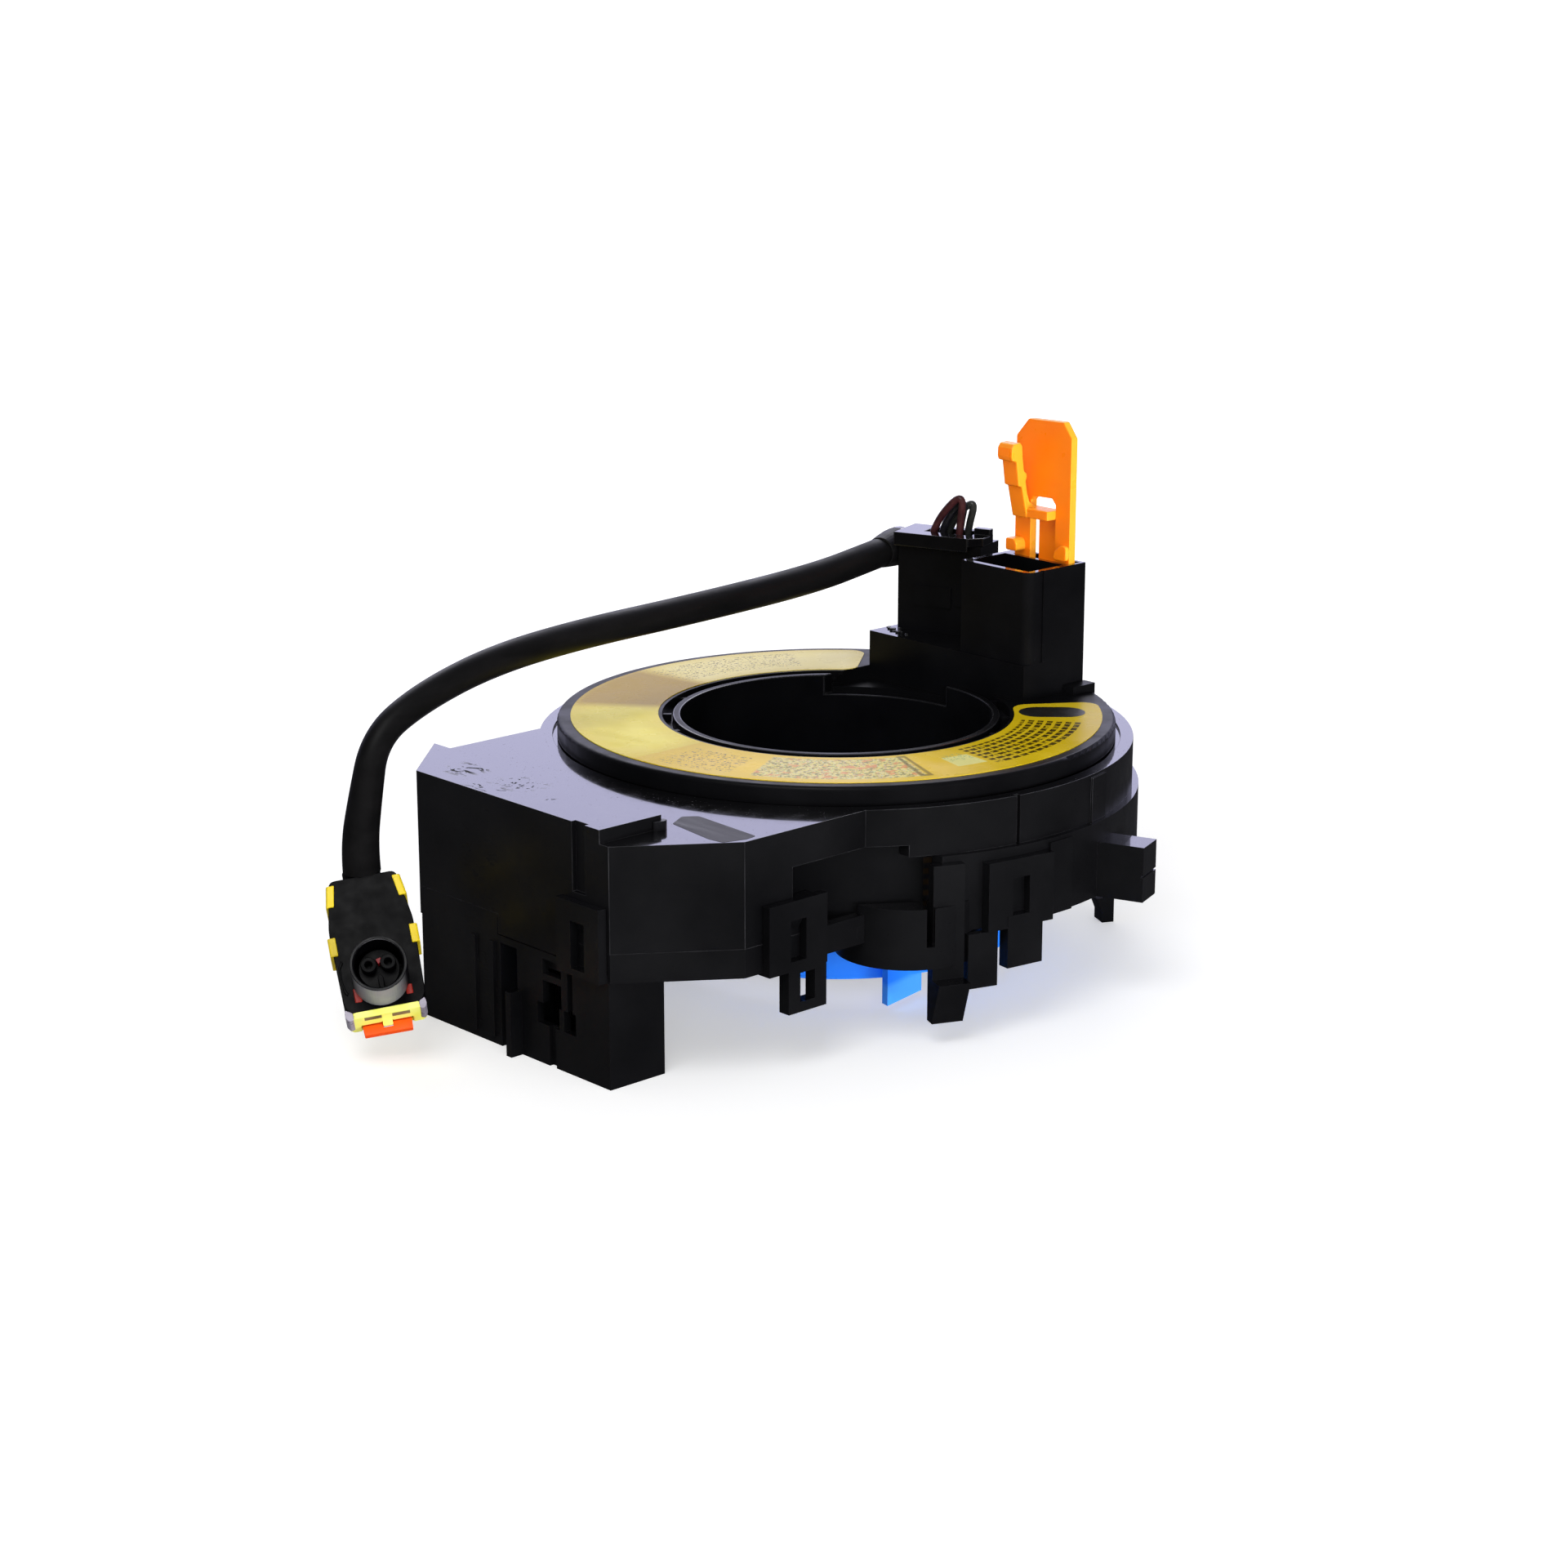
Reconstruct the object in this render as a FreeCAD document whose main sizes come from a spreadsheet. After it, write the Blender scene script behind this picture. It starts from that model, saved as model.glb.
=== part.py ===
import FreeCAD, Part
import math
import os
import re
import Sketcher
from FreeCAD import Placement, Rotation, Vector

# Steering clock spring, in millimetres. The rotor turns about +Z, and z = 0 is the top face of its disc.
# The long face of the housing looks along -X, and its near side looks along -Y.

SIZES = [
    # Rotor disc, hub and bore
    ("disc_radius", 52.0), ("disc_edge_round", 0.8), ("rim_radius", 32.5), ("recess_deep", 2.0),
    ("bore_radius", 29.1), ("sleeve_wall", 1.4), ("seat_gap", 0.1), ("hub_radius", 34.0),
    ("rotor_gap", 0.3), ("rib_width", 1.0), ("rib_drop", 0.7), ("rib_count", 16),
    ("sleeve_tail", 8.0), ("flange_radius", 34.0), ("flange_thick", 2.0),
    ("notch_front", 18.0), ("notch_near", -1.0), ("notch_deep", 2.7),
    # Housing drum
    ("housing_drop", 3.2), ("seat_recess", 0.5), ("seat_recess_radius", 52.9), ("top_thick", 2.2),
    ("drum_radius", 55.3), ("drum_wall", 2.0), ("drum_seam_deep", 8.7), ("drum_height", 22.6),
    ("skirt_radius", 56.5), ("skirt_wall", 2.2), ("floor_thick", 2.0), ("bore_gap", 0.5),
    ("skirt_start_near", -23.6), ("skirt_start_far", -36.0),
    ("rail_inner", 52.0), ("rail_outer", 53.0), ("rail_from", 118.0), ("rail_to", 243.0),
    ("rail_slot", 6.0), ("rail_slot_at", 12.0),
    # Housing box
    ("near_side", 43.4), ("near_corner", 62.1), ("face_out", 80.5), ("face_near", 30.3),
    ("face_far", 22.3), ("far_corner", 64.5), ("far_side", 37.5), ("box_wall", 2.0),
    ("box_root", 20.0), ("box_seam_deep", 18.7), ("box_height", 23.8), ("cavity_root", 30.0),
    ("band_rise", 2.4), ("band_width", 13.5), ("band_near", 28.0), ("band_far", 35.0),
    ("window_from", -51.3), ("window_step", -46.5), ("window_to", -28.0),
    ("window_deep", 6.6), ("window_step_deep", 12.0),
    ("face_groove_near", -24.2), ("face_groove_far", -20.8), ("face_groove_deep", 12.2),
    ("groove_cut", 0.9), ("face_skirt_near", -17.6), ("face_skirt_far", -0.1),
    ("face_skirt_drop", 3.6),
    ("drum_groove_turn", -98.6), ("drum_groove_width", 0.8), ("drum_strip_turn", -76.0),
    ("drum_strip_width", 5.0), ("strip_rise", 0.3),
    # Clip loops and their ramps
    ("loop_thick", 1.7), ("loop_window", 3.6), ("loop_window_high", 8.4), ("loop_head", 3.4),
    ("loop_gap", 0.15), ("ramp_high", 3.2), ("ramp_out", 1.2), ("loop_high", 12.4),
    ("face_loop_at", -24.0), ("face_loop_width", 11.2), ("face_loop_foot", -26.4),
    ("near_loop_at", -51.6), ("near_loop_width", 13.3), ("near_loop_foot", -27.5),
    ("drum_loop_turn", -99.8), ("drum_loop_width", 14.0), ("drum_loop_foot", -26.0),
    # Harness sockets
    ("stand_height", 46.0), ("near_socket_near", -30.0), ("near_socket_far", -5.2),
    ("near_socket_in", 68.5), ("far_socket_near", -0.6), ("far_socket_far", 21.9),
    ("far_socket_in", 69.0), ("socket_wall", 1.4), ("socket_deep", 17.0), ("latch_out", 12.8),
    ("latch_wide", 5.0), ("latch_bar", -30.8), ("latch_bar_high", 1.2), ("latch_low", -38.8),
    ("latch_foot", -35.0), ("key_out", 9.8), ("key_wide", 1.4), ("socket_groove", 0.8),
    ("prong_near", -6.3), ("prong_far", -4.9), ("prong_top", -34.2), ("prong_out", 2.5),
    ("rib_out", 0.6), ("rib_one", 1.4), ("rib_two", 6.5), ("socket_rib", 1.2),
    # Legs and hooks below the drum
    ("leg_thick", 2.4), ("leg_gap", 0.2), ("slot_leg_at", -49.5), ("slot_leg_width", 8.7),
    ("slot_leg_low", -35.1), ("slot_leg_top", -20.7), ("slot_leg_slot", 3.4),
    ("slot_leg_slot_low", -33.3), ("slot_leg_slot_top", -28.1),
    ("hook_turn", -114.0), ("hook_width", 5.8), ("hook_low", -41.6), ("hook_top", -13.0),
    ("hook_foot_top", -26.0), ("barb_out", 3.4), ("barb_high", 8.0),
    ("step_turn", -107.5), ("step_width", 5.8), ("step_low", -36.0),
    ("round_leg_turn", -98.9), ("round_leg_width", 7.6), ("round_leg_low", -33.3),
    ("panel_turn", -89.4), ("panel_width", 5.8), ("panel_rise", 0.5), ("panel_top", -12.5),
    ("right_leg_turn", -25.5), ("far_leg_turn", 48.0), ("back_leg_turn", 100.0),
    ("stand_leg_width", 4.0), ("stand_leg_radius", 54.0), ("foot_barb", 1.2), ("foot_barb_high", 5.0),
    ("boss_x", -22.0), ("boss_y", -41.1), ("boss_radius", 12.7), ("boss_top", -20.3),
    ("boss_low", -31.2), ("boss_clear", 40.8), ("boss_slot", 1.5), ("boss_slot_turn", -117.5),
    # Side bracket
    ("bracket_turn", -69.5), ("bracket_out", 64.7), ("bracket_left", -8.1), ("bracket_right", -1.8),
    ("bracket_top", -15.6),
    ("bracket_split", -21.0), ("bracket_gap", 0.4),
    # Cancel cam
    ("cam_radius", 34.0), ("cam_low", -41.0), ("fin_tip_x", -18.7), ("fin_tip_y", -33.3),
    ("fin_root_x", -8.0), ("fin_root_y", -31.2), ("fin_thick", 1.8), ("fin_low", -45.0),
    ("fin_top", -32.0),
    # Tower foot and connector block
    ("foot_front", 30.6), ("foot_back", 46.0), ("foot_left", 22.6), ("foot_high", 7.0),
    ("block_front", 31.5), ("block_back", 47.2), ("block_right", -19.0), ("block_left", -1.5),
    ("block_high", 24.7), ("block_wall", 1.2), ("block_corner", 2.0), ("plug_floor", 9.0),
    ("plug_deep", 9.5), ("corner_groove", 35.2), ("corner_groove_wide", 0.8),
    ("tongue_out", 2.8), ("tongue_thick", 1.6), ("tongue_back", 47.6), ("tongue_front", 41.5),
    ("crown_turn", 19.0), ("crown_front", 40.8), ("crown_back", 49.0), ("crown_left", 7.5),
    ("crown_right", -10.3), ("crown_high", 24.9), ("crown_wall", 1.4), ("crown_floor", 12.0),
    ("emboss_rise", 0.3), ("emboss_one_right", -4.1), ("emboss_one_left", 4.0),
    ("emboss_one_low", 12.1), ("emboss_one_top", 16.2), ("emboss_two_edge", 0.1),
    ("emboss_two_left", -4.9), ("emboss_two_low", 12.7), ("emboss_two_top", 17.1),
    ("gland_radius", 3.7), ("gland_face", 46.6), ("gland_at", 11.0), ("gland_z", 22.0),
    ("gland_thick", 2.2),
    # Cap over the wires
    ("cap_front", 39.6), ("cap_back", 49.3), ("cap_left", 8.0), ("cap_right", -10.4),
    ("cap_thick", 1.6), ("cap_lip", 1.0), ("cap_lip_right", -7.9), ("cap_lip_deep", 1.1),
    ("cap_slot_front", 43.0), ("cap_slot_back", 47.6), ("cap_slot_left", 2.9),
    ("cap_slot_right", -6.9), ("cap_bar", 1.2), ("cap_bar_deep", 1.6), ("cap_cut", 3.0),
    # Contact pins
    ("pin_thick", 0.64), ("switch_pin_pitch", 3.0), ("switch_pin_first", -15.4),
    ("switch_row_front", 35.6), ("switch_row_gap", 4.0), ("switch_pin_top", 18.0),
    ("harness_pitch", 3.2), ("near_pin_first", -26.6), ("far_pin_first", 3.2),
    ("harness_row_out", 76.4), ("harness_row_gap", 4.4), ("harness_pin_low", -38.0),
    ("harness_pin_top", -19.6),
    ("carrier_out", 78.2), ("carrier_in", 66.0), ("carrier_near", -28.0), ("carrier_far", 18.5),
    ("carrier_high", 5.0),
    # Flat cable wound in the drum
    ("cable_inner", 35.2), ("cable_thick", 0.5), ("cable_pitch", 3.1), ("cable_high", 17.0),
    ("cable_turns", 5),
    # Label
    ("label_margin", 2.5), ("label_width", 16.3), ("label_thick", 0.15), ("label_from", 39.5),
    ("label_to", 325.5),
    # Lock tab
    ("tab_front", 43.4), ("tab_thick", 2.8), ("tab_right", -18.1), ("tab_left", -4.0),
    ("tab_top", 51.5), ("tab_low", 10.0), ("tab_corner", 3.4), ("tab_gap", 0.2),
    ("tab_window_right", -14.7), ("tab_window_left", -8.1), ("tab_window_low", 24.0),
    ("tab_window_top", 36.6), ("tongue_right", -14.3), ("tongue_left", -8.3),
    ("tongue_tip", -2.9), ("bar_low", 32.6), ("bar_high", 34.4), ("arm_out", 41.0),
    ("arm_top", 46.8), ("arm_lean", 3.8), ("arm_thick", 2.0), ("arm_right", -9.4),
    ("arm_left", -5.4), ("arm_head_out", 1.2), ("arm_head_low", 43.8), ("tab_web", 1.2),
    ("tab_foot_out", 2.6), ("tab_foot_low", 25.0), ("tab_foot_top", 27.6),
    # Lead wires and lead sleeve
    ("wire_thick", 1.45), ("sleeve_thick", 5.8),
    # Airbag plug: its own frame has x to the right, y away from its face and z up to the lead
    ("plug_at_x", -95.3), ("plug_at_y", 18.6), ("plug_at_z", -17.3), ("plug_azimuth", -38.0),
    ("plug_tilt", -36.0), ("plug_lean", -9.7), ("plug_top_half", 5.8), ("plug_half", 7.3),
    ("plug_mid", 9.0), ("plug_long", 24.0), ("plug_front", 3.2), ("plug_back", 3.4),
    ("collar_radius", 3.3), ("collar_high", 2.0), ("barrel_radius", 4.85), ("barrel_wall", 0.9),
    ("barrel_long", 8.4), ("barrel_at", 18.7), ("core_drop", 3.0), ("contact_half", 2.0),
    ("contact_radius", 0.8), ("contact_bore", 0.45), ("contact_rise", 2.2), ("key_side", 1.4),
    ("cover_thick", 1.2), ("cover_half", 6.6), ("cover_top", 0.6), ("ear_high", 3.6),
    ("ear_thick", 0.7), ("ear_upper", 1.0), ("ear_upper_in", 6.7), ("ear_lower", 9.8),
    ("ear_lower_in", 7.4), ("ear_reach", 0.4),
    ("frame_thick", 1.0), ("frame_half", 5.8), ("frame_front", 2.6), ("lock_half", 4.2),
    ("lock_front", 1.6), ("lock_thick", 1.8), ("lock_out", 1.8), ("lock_arm_half", 5.6),
    ("lock_arm_wide", 1.2), ("lock_arm_top", 19.6), ("lock_gap", 0.2), ("lock_travel", 1.5),
]

# Places that follow from the sizes, each as an expression of sizes and earlier places
PLACES = [
    ("housing_top", "-housing_drop"), ("seat_floor", "housing_top - seat_recess"),
    ("disc_under", "seat_floor + rotor_gap"), ("top_under", "housing_top - top_thick"),
    ("band_top", "housing_top + band_rise"), ("drum_seam", "housing_top - drum_seam_deep"),
    ("drum_low", "housing_top - drum_height"), ("drum_floor", "drum_low + floor_thick"),
    ("box_seam", "housing_top - box_seam_deep"), ("box_low", "housing_top - box_height"),
    ("box_floor", "box_low + floor_thick"), ("stand_level", "-stand_height"),
    ("sleeve_radius", "bore_radius + sleeve_wall"), ("hub_inner", "sleeve_radius + seat_gap"),
    ("hub_low", "drum_floor + rotor_gap"), ("floor_bore", "sleeve_radius + bore_gap"),
    ("top_bore", "hub_radius + bore_gap"), ("flange_top", "drum_low - rotor_gap"),
    ("flange_low", "flange_top - flange_thick"), ("sleeve_low", "flange_low - sleeve_tail"),
    ("drum_inner", "drum_radius - drum_wall"), ("skirt_inner", "skirt_radius - skirt_wall"),
    ("label_outer", "disc_radius - label_margin"), ("label_inner", "label_outer - label_width"),
    ("cap_low", "crown_high"), ("cap_top", "crown_high + cap_thick"),
    ("tab_back", "tab_front + tab_thick"), ("carrier_top", "box_floor + carrier_high"),
]

doc = FreeCAD.newDocument("clock_spring")
sheet = doc.addObject("Spreadsheet::Sheet", "Sizes")
places = doc.addObject("App::VarSet", "Places")
SIZE_NAMES = {name for name, _ in SIZES}
PLACE_NAMES = {name for name, _ in PLACES}


def linked(text):
    """The expression with each size and place named by the object that holds it."""
    def whole(found):
        word = found.group()
        if word in SIZE_NAMES:
            return "Sizes." + word
        return "Places." + word if word in PLACE_NAMES else word
    return re.sub(r"[A-Za-z_]\w*", whole, text)


def bind(thing, prop, text):
    thing.setExpression(prop, linked(text))


def fill_sheet():
    for row, (name, value) in enumerate(SIZES, start=1):
        sheet.set(f"A{row}", name)
        sheet.set(f"B{row}", str(value))
        sheet.setAlias(f"B{row}", name)
    doc.recompute()
    for name, text in PLACES:
        places.addProperty("App::PropertyFloat", name)
        bind(places, name, text)
    doc.recompute()


def size(name):
    """The present value of a size or a place."""
    return float(getattr(places, name) if name in PLACE_NAMES else sheet.get(name))


# Sketches

def new_body(label):
    body = doc.addObject("PartDesign::Body", label + "_body")
    body.Label = label
    return body


def new_sketch(body, name, level="0", turn=None, plane="XY_Plane"):
    """A sketch on one of the body's own planes, at a level along its normal, turned about it."""
    sketch = body.newObject("Sketcher::SketchObject", name + "_sketch")
    support = next(f for f in body.Origin.OriginFeatures if f.Role == plane)
    sketch.AttachmentSupport = (support, [""])
    sketch.MapMode = "FlatFace"
    if turn:
        sketch.AttachmentOffset = Placement(Vector(), Rotation(Vector(0, 0, 1), 1))
        bind(sketch, "AttachmentOffset.Rotation.Angle", turn)
    bind(sketch, "AttachmentOffset.Base.z", level)
    return sketch


def fix_point(sketch, geometry, vertex, x, y, start):
    """Hold a point of the sketch at two bound distances from its origin."""
    for kind, text, value in (("DistanceX", x, start.x), ("DistanceY", y, start.y)):
        rule = Sketcher.Constraint(kind, -1, 1, geometry, vertex, value)
        number = sketch.addConstraint(rule)
        bind(sketch, f"Constraints[{number}]", text)


def draw_polygon(sketch, points):
    first, count = sketch.GeometryCount, len(points)
    ring = [Vector(10 * math.cos(2 * math.pi * i / count), 10 * math.sin(2 * math.pi * i / count), 0)
            for i in range(count)]
    for i in range(count):
        sketch.addGeometry(Part.LineSegment(ring[i], ring[(i + 1) % count]), False)
    for i in range(count):
        after = first + (i + 1) % count
        sketch.addConstraint(Sketcher.Constraint("Coincident", first + i, 2, after, 1))
    for i, (x, y) in enumerate(points):
        fix_point(sketch, first + i, 1, x, y, ring[i])


def draw_circle(sketch, radius, x="0", y="0"):
    start = Vector(1, 1, 0)
    number = sketch.addGeometry(Part.Circle(start, Vector(0, 0, 1), 5), False)
    rule = sketch.addConstraint(Sketcher.Constraint("Radius", number, 5))
    bind(sketch, f"Constraints[{rule}]", radius)
    fix_point(sketch, number, 3, x, y, start)


# Features of a body

def pad(body, name, sketch, length):
    feature = body.newObject("PartDesign::Pad", name)
    feature.Profile = sketch
    feature.Refine = False
    bind(feature, "Length", length)
    return feature


def pocket(body, name, sketch, length):
    """A cut from the sketch down against its normal."""
    feature = body.newObject("PartDesign::Pocket", name)
    feature.Profile = sketch
    feature.Refine = False
    bind(feature, "Length", length)
    return feature


def add_prism(body, name, points, low, high, turn=None, plane="XY_Plane"):
    sketch = new_sketch(body, name, low, turn, plane)
    draw_polygon(sketch, points)
    return pad(body, name, sketch, f"({high}) - ({low})")


def cut_prism(body, name, points, low, high, turn=None, plane="XY_Plane"):
    sketch = new_sketch(body, name, high, turn, plane)
    draw_polygon(sketch, points)
    return pocket(body, name, sketch, f"({high}) - ({low})")


def corners(x, y):
    """The four corners of a rectangle from its two ranges."""
    return [(x[0], y[0]), (x[1], y[0]), (x[1], y[1]), (x[0], y[1])]


def add_block(body, name, x, y, z, turn=None):
    return add_prism(body, name, corners(x, y), z[0], z[1], turn)


def cut_block(body, name, x, y, z, turn=None):
    return cut_prism(body, name, corners(x, y), z[0], z[1], turn)


def add_disc(body, name, radius, low, high, x="0", y="0", inner=None, plane="XY_Plane"):
    sketch = new_sketch(body, name, low, None, plane)
    draw_circle(sketch, radius, x, y)
    if inner:
        draw_circle(sketch, inner, x, y)
    return pad(body, name, sketch, f"({high}) - ({low})")


def cut_disc(body, name, radius, low, high, x="0", y="0", plane="XY_Plane"):
    sketch = new_sketch(body, name, high, None, plane)
    draw_circle(sketch, radius, x, y)
    return pocket(body, name, sketch, f"({high}) - ({low})")


def revolve(body, name, points):
    """A full turn about Z of an outline given as radius and height."""
    sketch = new_sketch(body, name, "0", None, "XZ_Plane")
    draw_polygon(sketch, points)
    feature = body.newObject("PartDesign::Revolution", name)
    feature.Profile = sketch
    feature.ReferenceAxis = (sketch, ["V_Axis"])
    feature.Angle = 360
    return feature


def ring_pattern(body, name, feature, count):
    pattern = body.newObject("PartDesign::PolarPattern", name)
    pattern.Originals = [feature]
    pattern.Axis = (next(f for f in body.Origin.OriginFeatures if f.Role == "Z_Axis"), [""])
    pattern.Angle = 360
    bind(pattern, "Occurrences", count)
    body.Tip = pattern


def round_edges(body, name, radius, wanted):
    """Round the edges of the body so far for which wanted(edge) holds."""
    doc.recompute()
    base = body.Tip
    names = [f"Edge{i}" for i, edge in enumerate(base.Shape.Edges, start=1) if wanted(edge)]
    feature = body.newObject("PartDesign::Fillet", name)
    feature.Base = (base, names)
    bind(feature, "Radius", radius)


def upright_at(x, y):
    """A test for the straight upright edges over one place of the plan."""
    def test(edge):
        ends = [vertex.Point for vertex in edge.Vertexes]
        return len(ends) == 2 and all(math.hypot(p.x - x, p.y - y) < 0.01 for p in ends)
    return test


def circle_at(radius, z):
    """A test for the full circles about Z of one radius and height."""
    def test(edge):
        curve = edge.Curve
        return (isinstance(curve, Part.Circle) and abs(curve.Radius - radius) < 0.01
                and abs(curve.Center.z - z) < 0.01)
    return test


def span(middle, width):
    """A range of the given width about a middle."""
    return (f"{middle} - {width} / 2", f"{middle} + {width} / 2")


def joined(label, base, tools, kind="Part::Cut"):
    """A boolean of two document objects that takes over the label."""
    base.Label = label + "_solid"
    result = doc.addObject(kind, label)
    result.Base = base
    result.Tool = tools
    result.Label = label
    return result


# Rotor

def tower_foot(body):
    add_block(body, "foot", ("foot_front", "foot_back"), ("block_right", "foot_left"),
              ("-notch_deep", "foot_high"))
    add_block(body, "foot_tongue", ("tongue_front", "tongue_back"),
              ("block_right - tongue_out", "block_right"), ("-tongue_thick", "tongue_thick"))


def plug_block(body):
    """The open connector block at the right of the tower."""
    add_block(body, "block", ("block_front", "block_back"), ("block_right", "block_left"),
              ("0", "block_high"))
    round_edges(body, "block_round", "block_corner",
                upright_at(size("block_front"), size("block_right")))
    inner = ("block_front + block_wall", "block_front + block_wall + plug_deep")
    cut_block(body, "plug_room", inner, ("block_right + block_wall", "block_left - block_wall"),
              ("plug_floor", "block_high"))
    cut_block(body, "corner_line", span("corner_groove", "corner_groove_wide"),
              ("block_right", "block_right + emboss_rise"), ("foot_high", "block_high"))


def crown(body):
    """The closed block at the left of the tower, which holds the lead's wires."""
    add_block(body, "crown", ("crown_front", "crown_back"), ("crown_right", "crown_left"),
              ("0", "crown_high"), "crown_turn")
    cut_block(body, "crown_room", ("crown_front + crown_wall", "crown_back - crown_wall"),
              ("crown_right + crown_wall", "crown_left - crown_wall"),
              ("crown_floor", "crown_high"), "crown_turn")
    plate = ("crown_front - emboss_rise", "crown_front")
    add_block(body, "emboss_one", plate, ("emboss_one_right", "emboss_one_left"),
              ("emboss_one_low", "emboss_one_top"), "crown_turn")
    add_block(body, "emboss_two", plate, ("crown_right + emboss_two_edge", "emboss_two_left"),
              ("emboss_two_low", "emboss_two_top"), "crown_turn")


def gland(body):
    """The collar on the crown's left side that the lead sleeve enters."""
    sketch = new_sketch(body, "gland", "0", None, "XY_Plane")
    sketch.MapMode = "Deactivated"
    turn = Rotation(Vector(0, 0, 1), size("crown_turn")) * Rotation(Vector(1, 1, 1), 120)
    flat = Rotation(Vector(0, 0, 1), size("crown_turn"))
    sketch.Placement = Placement(flat.multVec(Vector(size("gland_face"), 0, 0)), turn)
    draw_circle(sketch, "gland_radius", "gland_at", "gland_z")
    pad(body, "gland", sketch, "gland_thick")
    add_block(body, "gland_web", ("gland_face", "gland_face + gland_thick"),
              ("crown_left - crown_wall", "gland_at"),
              ("gland_z - gland_radius + 0.3", "gland_z + 2.6"), "crown_turn")


def tab_slot(body):
    cut_block(body, "tab_slot", ("tab_front - tab_gap", "tab_back + tab_gap"),
              ("tab_right - tab_gap", "tab_left + tab_gap"), ("tab_low - tab_gap", "block_high"))
    cut_block(body, "tongue_slot", ("tab_front - tab_gap", "tab_back + tab_gap"),
              ("tongue_right - tab_gap", "tongue_left + tab_gap"), ("disc_under", "block_high"))


def rotor_disc():
    body = new_body("rotor_disc")
    revolve(body, "disc", [
        ("disc_radius", "0"), ("disc_radius", "disc_under"), ("hub_radius", "disc_under"),
        ("hub_radius", "hub_low"), ("hub_inner", "hub_low"), ("hub_inner", "-recess_deep"),
        ("rim_radius", "-recess_deep"), ("rim_radius", "0")])
    rib = add_block(body, "recess_rib", ("hub_inner + 0.2", "rim_radius + 0.3"),
                    span("0", "rib_width"), ("-recess_deep", "-rib_drop"))
    ring_pattern(body, "recess_ribs", rib, "rib_count")
    round_edges(body, "disc_rounds", "disc_edge_round", circle_at(size("disc_radius"), 0))
    cut_block(body, "front_notch", ("notch_front", "foot_front"), ("notch_near", "foot_left"),
              ("-notch_deep", "0"))
    tower_foot(body)
    plug_block(body)
    crown(body)
    gland(body)
    tab_slot(body)
    return body


def rotor_sleeve():
    body = new_body("rotor_sleeve")
    revolve(body, "sleeve", [
        ("bore_radius", "0"), ("sleeve_radius", "0"),
        ("sleeve_radius", "flange_top"), ("flange_radius", "flange_top"),
        ("flange_radius", "flange_low"), ("sleeve_radius", "flange_low"),
        ("sleeve_radius", "sleeve_low"), ("bore_radius", "sleeve_low")])
    cut_block(body, "sleeve_notch", ("notch_front", "foot_front"),
              ("notch_near + 1", "foot_left"), ("-notch_deep - 1.2", "0"))
    return body


def cancel_cam():
    body = new_body("cancel_cam")
    add_disc(body, "cam_ring", "cam_radius", "cam_low", "flange_low", inner="hub_inner")
    tip = [("fin_tip_x", "fin_tip_y"), ("fin_root_x", "fin_root_y"),
           ("fin_root_x", "fin_root_y + fin_thick"), ("fin_tip_x + 0.4", "fin_tip_y + fin_thick")]
    add_prism(body, "cam_fin", tip, "fin_low", "fin_top")
    return body


def draw_sector(sketch, inner, outer, start, stop):
    """A C shape between two radii and two angles in degrees, all four bound by name."""
    first, radii = sketch.GeometryCount, (size(inner), size(outer))
    turns = math.radians(size(start)), math.radians(size(stop))
    for radius in radii:
        ring = Part.Circle(Vector(), Vector(0, 0, 1), radius)
        sketch.addGeometry(Part.ArcOfCircle(ring, *turns), False)
    for turn in turns:
        ends = [Vector(r * math.cos(turn), r * math.sin(turn), 0) for r in radii]
        sketch.addGeometry(Part.LineSegment(*ends), False)
    for number, name in ((0, inner), (1, outer)):
        sketch.addConstraint(Sketcher.Constraint("Coincident", first + number, 3, -1, 1))
        rule = sketch.addConstraint(Sketcher.Constraint("Radius", first + number, size(name)))
        bind(sketch, f"Constraints[{rule}]", name)
    for arc, end, line, point in ((0, 1, 2, 1), (1, 1, 2, 2), (0, 2, 3, 1), (1, 2, 3, 2)):
        sketch.addConstraint(
            Sketcher.Constraint("Coincident", first + arc, end, first + line, point))
    for number, name in ((2, start), (3, stop)):
        angle = Sketcher.Constraint("Angle", -1, 1, first + number, 1, math.radians(size(name)))
        bind(sketch, f"Constraints[{sketch.addConstraint(angle)}]", f"{name} * 1 deg")


def label():
    """The C-shaped label on the disc."""
    body = new_body("label")
    sketch = new_sketch(body, "label", "0")
    draw_sector(sketch, "label_inner", "label_outer", "label_from", "label_to")
    pad(body, "label", sketch, "label_thick")
    return body


def pin_grid(label, rows, first, count, pitch, z):
    """Square pins in rows: one pad whose sketch holds every pin."""
    body = new_body(label)
    body.AllowCompound = True
    sketch = new_sketch(body, label, z[0])
    for row in rows:
        for i in range(count):
            x, y = span(row, "pin_thick"), span(f"({first} + {i} * {pitch})", "pin_thick")
            draw_polygon(sketch, corners(x, y))
    pad(body, label, sketch, f"({z[1]}) - ({z[0]})")
    return body


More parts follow.
